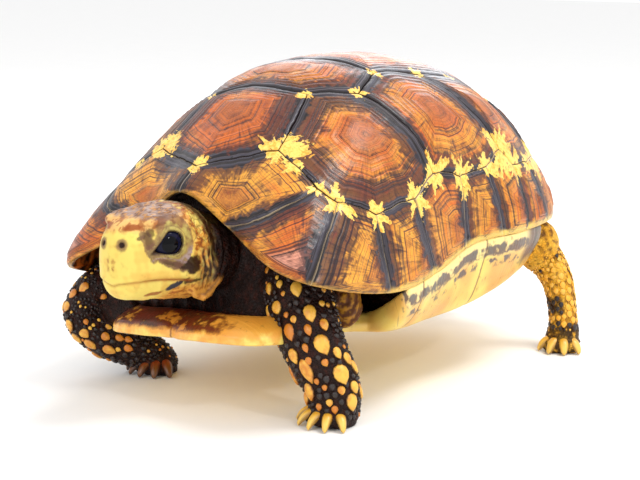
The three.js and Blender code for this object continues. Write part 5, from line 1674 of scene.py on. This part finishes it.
def build_stage(floor_width):
    """A pale floor, the room's light, soft lamps and the camera."""
    scene = bpy.context.scene
    target = metres(CAMERA_TARGET)
    a, e = radians(CAMERA_AZIMUTH), radians(CAMERA_HEIGHT)
    back = np.array([sin(a) * cos(e), -cos(a) * cos(e), sin(e)])
    lens = bpy.data.cameras.new("studio_camera")
    lens.lens, lens.sensor_width, lens.clip_start = LENS, SENSOR, 0.01
    scene.camera = shown("studio_camera", lens)
    aimed(scene.camera, target + back * CAMERA_DISTANCE / 1000, target)

    half = floor_width / 2
    mesh = bpy.data.meshes.new("studio_floor")
    corners = [(-half, -half, 0), (half, -half, 0), (half, half, 0), (-half, half, 0)]
    mesh.from_pydata(corners, [], [range(4)])
    floor = shown("studio_floor", mesh)
    h = Shader("studio_paper")
    paper = h.noise(40, 3.0)
    floor.data.materials.append(h.finish(h.mix(paper + 0.5, PAPER_DARK, PAPER_LIGHT), 0.85 + paper * 0.1))

    scene.world = bpy.data.worlds.new("studio_room")
    scene.world.use_nodes = True
    room = scene.world.node_tree.nodes["Background"].inputs
    room["Color"].default_value, room["Strength"].default_value = ROOM_TINT, ROOM_STRENGTH
    scene.view_settings.view_transform = "Standard"
    scene.view_settings.look = "None"
    for name, (place, width, power, tone) in LAMPS.items():
        lamp = bpy.data.lights.new(name, "AREA")
        lamp.shape, lamp.size, lamp.energy, lamp.color = "DISK", width, power, tone
        aimed(shown(name, lamp), place, LAMP_AIM)


# ---- Settings, operators and panel ----

def tint(label, code, about):
    """A colour that a user can change."""
    return bpy.props.FloatVectorProperty(name=label, description=about, subtype="COLOR", size=4,
                                         min=0.0, max=1.0, default=colour(code))


class TortoiseSizes(bpy.types.PropertyGroup):
    """Sizes that a user would change."""
    claw_growth: bpy.props.FloatProperty(
        name="Claw Growth", description="Length of the claws against their usual length",
        default=1.0, min=0.5, max=1.5, subtype="FACTOR")
    scale_height: bpy.props.FloatProperty(
        name="Scale Height", description="How far a large leg scale stands over the skin",
        default=0.0012, min=0.0002, max=0.003, unit="LENGTH", subtype="DISTANCE")
    floor_width: bpy.props.FloatProperty(
        name="Floor Width", description="Width of the studio floor",
        default=6.0, min=1.0, unit="LENGTH", subtype="DISTANCE")


class TortoiseColours(bpy.types.PropertyGroup):
    """Colours of the horn, the skin and the eyes."""
    horn_orange: tint("Orange Horn", "ca641c", "Old horn in the middle of a plate")
    horn_red: tint("Red Horn", "943815", "Redder clouds in the old horn")
    horn_yellow: tint("Yellow Horn", "e8a034", "Lighter old horn")
    horn_brown: tint("Brown Horn", "5a2614", "Ring tones")
    areola: tint("First Plate", "b05e26", "The stippled first plate")
    horn_pink: tint("Pink Horn", "d2937e", "The first plate of one pair of edge plates")
    horn_purple: tint("Purple Horn", "482022", "Purple-brown horn round the old horn")
    horn_dark: tint("Dark Horn", "2f161c", "Darker purple horn and ring lines")
    horn_slate: tint("Slate Horn", "393844", "Grey sheen on new horn")
    horn_pale: tint("Pale Lines", "9a8c8a", "Fine pale lines in new horn")
    horn_black: tint("Black Horn", "0c0a12", "New horn and dashes")
    star_yellow: tint("Star Yellow", "f6d068", "Stars where plates meet")
    seam_dark: tint("Dark Seams", "1d1010", "Seams between the large plates")
    seam_pale: tint("Pale Seams", "b7a58c", "Seams between the edge plates")
    belly_yellow: tint("Belly Yellow", "f6d96a", "The plastron")
    belly_amber: tint("Belly Amber", "e0a24a", "Darker places of the plastron")
    belly_pale: tint("Belly Pale", "f7e6a0", "Strip under the shell's edge")
    lip_red: tint("Lip Red", "5c1207", "Blotches on the plastron's lip")
    lip_orange: tint("Lip Orange", "e8962a", "Warm places on the plastron's lip")
    skin_dark: tint("Dark Skin", "190804", "Neck and forelegs")
    skin_rust: tint("Rust Skin", "4a1a0a", "Redder places of the dark skin")
    skin_ochre: tint("Ochre Skin", "f0aa26", "Hind legs and tail")
    skin_brown: tint("Brown Skin", "5c3214", "Dark places of the hind legs")
    face_yellow: tint("Face Yellow", "dfc663", "Beak and cheeks")
    face_tan: tint("Face Tan", "dba468", "Warmer places of the face")
    face_brown: tint("Face Brown", "6e4c3a", "Crown and the rings of the nostrils")
    face_rust: tint("Face Rust", "8c441a", "Marks on the face")
    face_lilac: tint("Face Lilac", "8e7874", "Greyer marks on the crown")
    face_dark: tint("Face Dark", "2a150b", "Cheek and mouth corner")
    face_amber: tint("Face Amber", "cf8f3c", "Behind the eye and under the jaw")
    face_slate: tint("Face Slate", "33343c", "The patch at the mouth's corner")
    lid_olive: tint("Lid Olive", "b3a35a", "Rings of the lids")
    lid_pink: tint("Lid Pink", "a28c92", "Fold under the eye")
    pupil: tint("Pupil", "08080b", "The pupil and the eye's rim")
    iris: tint("Iris", "14142a", "The dark iris")
    claw_yellow: tint("Claw Yellow", "d49a28", "Claws near their roots")
    claw_tip: tint("Claw Tip", "e8bc50", "Tips of the claws")
    claw_rust: tint("Claw Rust", "8c3a14", "Claws of the right hand")
    claw_brown: tint("Claw Brown", "6b3d14", "Fibres and roots of the claws")
    scale_orange: tint("Scale Orange", "c9771a", "Warmer scales of the forelegs")
    scale_yellow: tint("Scale Yellow", "eab340", "Lighter scales")
    scale_rim: tint("Scale Rim", "34100a", "Rims of the foreleg's scales")


def own_colours(context):
    """The colours as plain RGBA values by name."""
    group = context.scene.tortoise_colours
    return SimpleNamespace(**{key: tuple(getattr(group, key)) for key in group.__annotations__})


def plated(name, plates, material, nodes):
    """Several plates as one piece that stands for their nodes."""
    placed(new_mesh(name, *merged(plates)), material, nodes)


class TORTOISE_OT_stage(bpy.types.Operator):
    """Sets up the floor, the light and the camera"""
    bl_idname = "tortoise.stage"
    bl_label = "Studio"

    def execute(self, context):
        build_stage(context.scene.tortoise_sizes.floor_width)
        return {"FINISHED"}


class TORTOISE_OT_vertebrals(bpy.types.Operator):
    """Builds the five plates along the back"""
    bl_idname = "tortoise.vertebrals"
    bl_label = "Vertebral Plates"

    def execute(self, context):
        look = own_colours(context)
        plated("vertebral_scutes", [vertebral(i) for i in range(5)],
               horn_material("back_horn", look, look.seam_dark, 0.0),
               [f"vertebral_{i}" for i in range(1, 6)])
        return {"FINISHED"}


class TORTOISE_OT_costals(bpy.types.Operator):
    """Builds the four large plates of each flank"""
    bl_idname = "tortoise.costals"
    bl_label = "Costal Plates"

    def execute(self, context):
        look = own_colours(context)
        material = horn_material("flank_horn", look, look.seam_dark, 0.0)
        for word, side in SIDES:
            plated(f"costal_scutes_{word}", [costal(i, side) for i in range(4)], material,
                   [f"costal_{word}_{i}" for i in range(1, 5)])
        return {"FINISHED"}


class TORTOISE_OT_marginals(bpy.types.Operator):
    """Builds the edge plates of each side and the plate over the tail"""
    bl_idname = "tortoise.marginals"
    bl_label = "Edge Plates"

    def execute(self, context):
        look = own_colours(context)
        material = horn_material("edge_horn", look, look.seam_pale, 0.85)
        for word, side in SIDES:
            plated(f"marginal_scutes_{word}", [marginal(i, side) for i in range(11)], material,
                   [f"marginal_{word}_{i}" for i in range(1, 12)])
        plated("supracaudal_scute", [tail_plate()], material, ["supracaudal"])
        return {"FINISHED"}


class TORTOISE_OT_plastron(bpy.types.Operator):
    """Builds the plastron and its bridges"""
    bl_idname = "tortoise.plastron"
    bl_label = "Plastron"

    def execute(self, context):
        item = new_mesh("plastron_shield", *plastron_mesh())
        placed(item, plastron_material(own_colours(context)), ["plastron"])
        return {"FINISHED"}


class TORTOISE_OT_skin(bpy.types.Operator):
    """Builds the one skin of trunk, neck, head, limbs and tail"""
    bl_idname = "tortoise.skin"
    bl_label = "Skin"

    def execute(self, context):
        points, faces = thinned(*skin_surface(), HIDE_SHARE)
        tint_of, masks = skin_marks(points, own_colours(context))
        item = new_mesh("tortoise_hide", points, faces, masks)
        layer = item.data.attributes.new("tint", "FLOAT_COLOR", "POINT")
        layer.data.foreach_set("color", tint_of.astype(np.float32).ravel())
        nodes = ["trunk", "neck", "head", "jaw", "tail"]
        nodes += [f"{limb}_{part}" for limb in LIMBS for part in ("upper", "lower", "foot")]
        placed(item, skin_material(), nodes)
        return {"FINISHED"}


class TORTOISE_OT_eyes(bpy.types.Operator):
    """Builds the two eyes"""
    bl_idname = "tortoise.eyes"
    bl_label = "Eyes"

    def execute(self, context):
        material = eye_material(own_colours(context))
        for word, side in SIDES:
            item = new_mesh(f"eyeball_{word}", *eyeball(side))
            placed(item, material, [f"eye_{word}"])
        return {"FINISHED"}


class TORTOISE_OT_claws(bpy.types.Operator):
    """Builds the claws of the four feet"""
    bl_idname = "tortoise.claws"
    bl_label = "Claws"

    def execute(self, context):
        look = own_colours(context)
        pale = claw_material("claw_horn", look.claw_yellow, look.claw_tip, look.claw_brown)
        rust = claw_material("dark_claw_horn", look.claw_rust, look.claw_brown, look.skin_dark)
        for name in LIMBS:
            material = rust if name == "foreleg_right" else pale
            mesh = claws_of(name, context.scene.tortoise_sizes.claw_growth)
            placed(new_mesh(f"{name}_claws", *mesh), material)
        return {"FINISHED"}


class TORTOISE_OT_scales(bpy.types.Operator):
    """Stands the horny scales on the legs"""
    bl_idname = "tortoise.scales"
    bl_label = "Leg Scales"

    def execute(self, context):
        look = own_colours(context)
        tree, form = scale_tree(), flake()
        fore = scale_material("fore_scale_horn", look.scale_orange, look.scale_yellow, look.scale_rim,
                              look.skin_dark)
        hind = scale_material("hind_scale_horn", look.skin_ochre, look.scale_yellow, look.skin_brown,
                              look.skin_dark)
        height = context.scene.tortoise_sizes.scale_height
        for i, name in enumerate(LIMBS):
            front = name.startswith("fore")
            small = (fore_scales, right_scales, hind_scales, hind_scales)[i]
            plan = scale_plan(LIMBS[name], LARGE_SCALES.get(name, []), small, 71 + i)
            roots = scale_points(name, plan, 1.0 if front else 0.6)
            item = stood_up(roots, tree, form, height, fore if front else hind)
            placed(item, fore if front else hind)
        bpy.data.objects.remove(form)
        return {"FINISHED"}


class TORTOISE_PT_build(bpy.types.Panel):
    """Lists the steps that build the tortoise"""
    bl_idname = "TORTOISE_PT_build"
    bl_label = "Tortoise"
    bl_space_type = "VIEW_3D"
    bl_region_type = "UI"
    bl_category = "Tortoise"

    def draw(self, context):
        column = self.layout.column()
        for group in (context.scene.tortoise_sizes, context.scene.tortoise_colours):
            for key in group.__annotations__:
                column.prop(group, key)
        for operator in STEPS:
            column.operator(operator.bl_idname)


STEPS = (TORTOISE_OT_stage, TORTOISE_OT_vertebrals, TORTOISE_OT_costals, TORTOISE_OT_marginals,
         TORTOISE_OT_plastron, TORTOISE_OT_skin, TORTOISE_OT_eyes, TORTOISE_OT_claws, TORTOISE_OT_scales)
CLASSES = (TortoiseSizes, TortoiseColours) + STEPS + (TORTOISE_PT_build,)


def register():
    for item in CLASSES:
        bpy.utils.register_class(item)
    bpy.types.Scene.tortoise_sizes = bpy.props.PointerProperty(type=TortoiseSizes)
    bpy.types.Scene.tortoise_colours = bpy.props.PointerProperty(type=TortoiseColours)


def unregister():
    del bpy.types.Scene.tortoise_sizes
    del bpy.types.Scene.tortoise_colours
    for item in reversed(CLASSES):
        bpy.utils.unregister_class(item)


def main():
    """Registers the classes and builds every piece in order."""
    register()
    for operator in STEPS:
        group, name = operator.bl_idname.split(".")
        getattr(getattr(bpy.ops, group), name)()


if __name__ == "__main__":
    main()
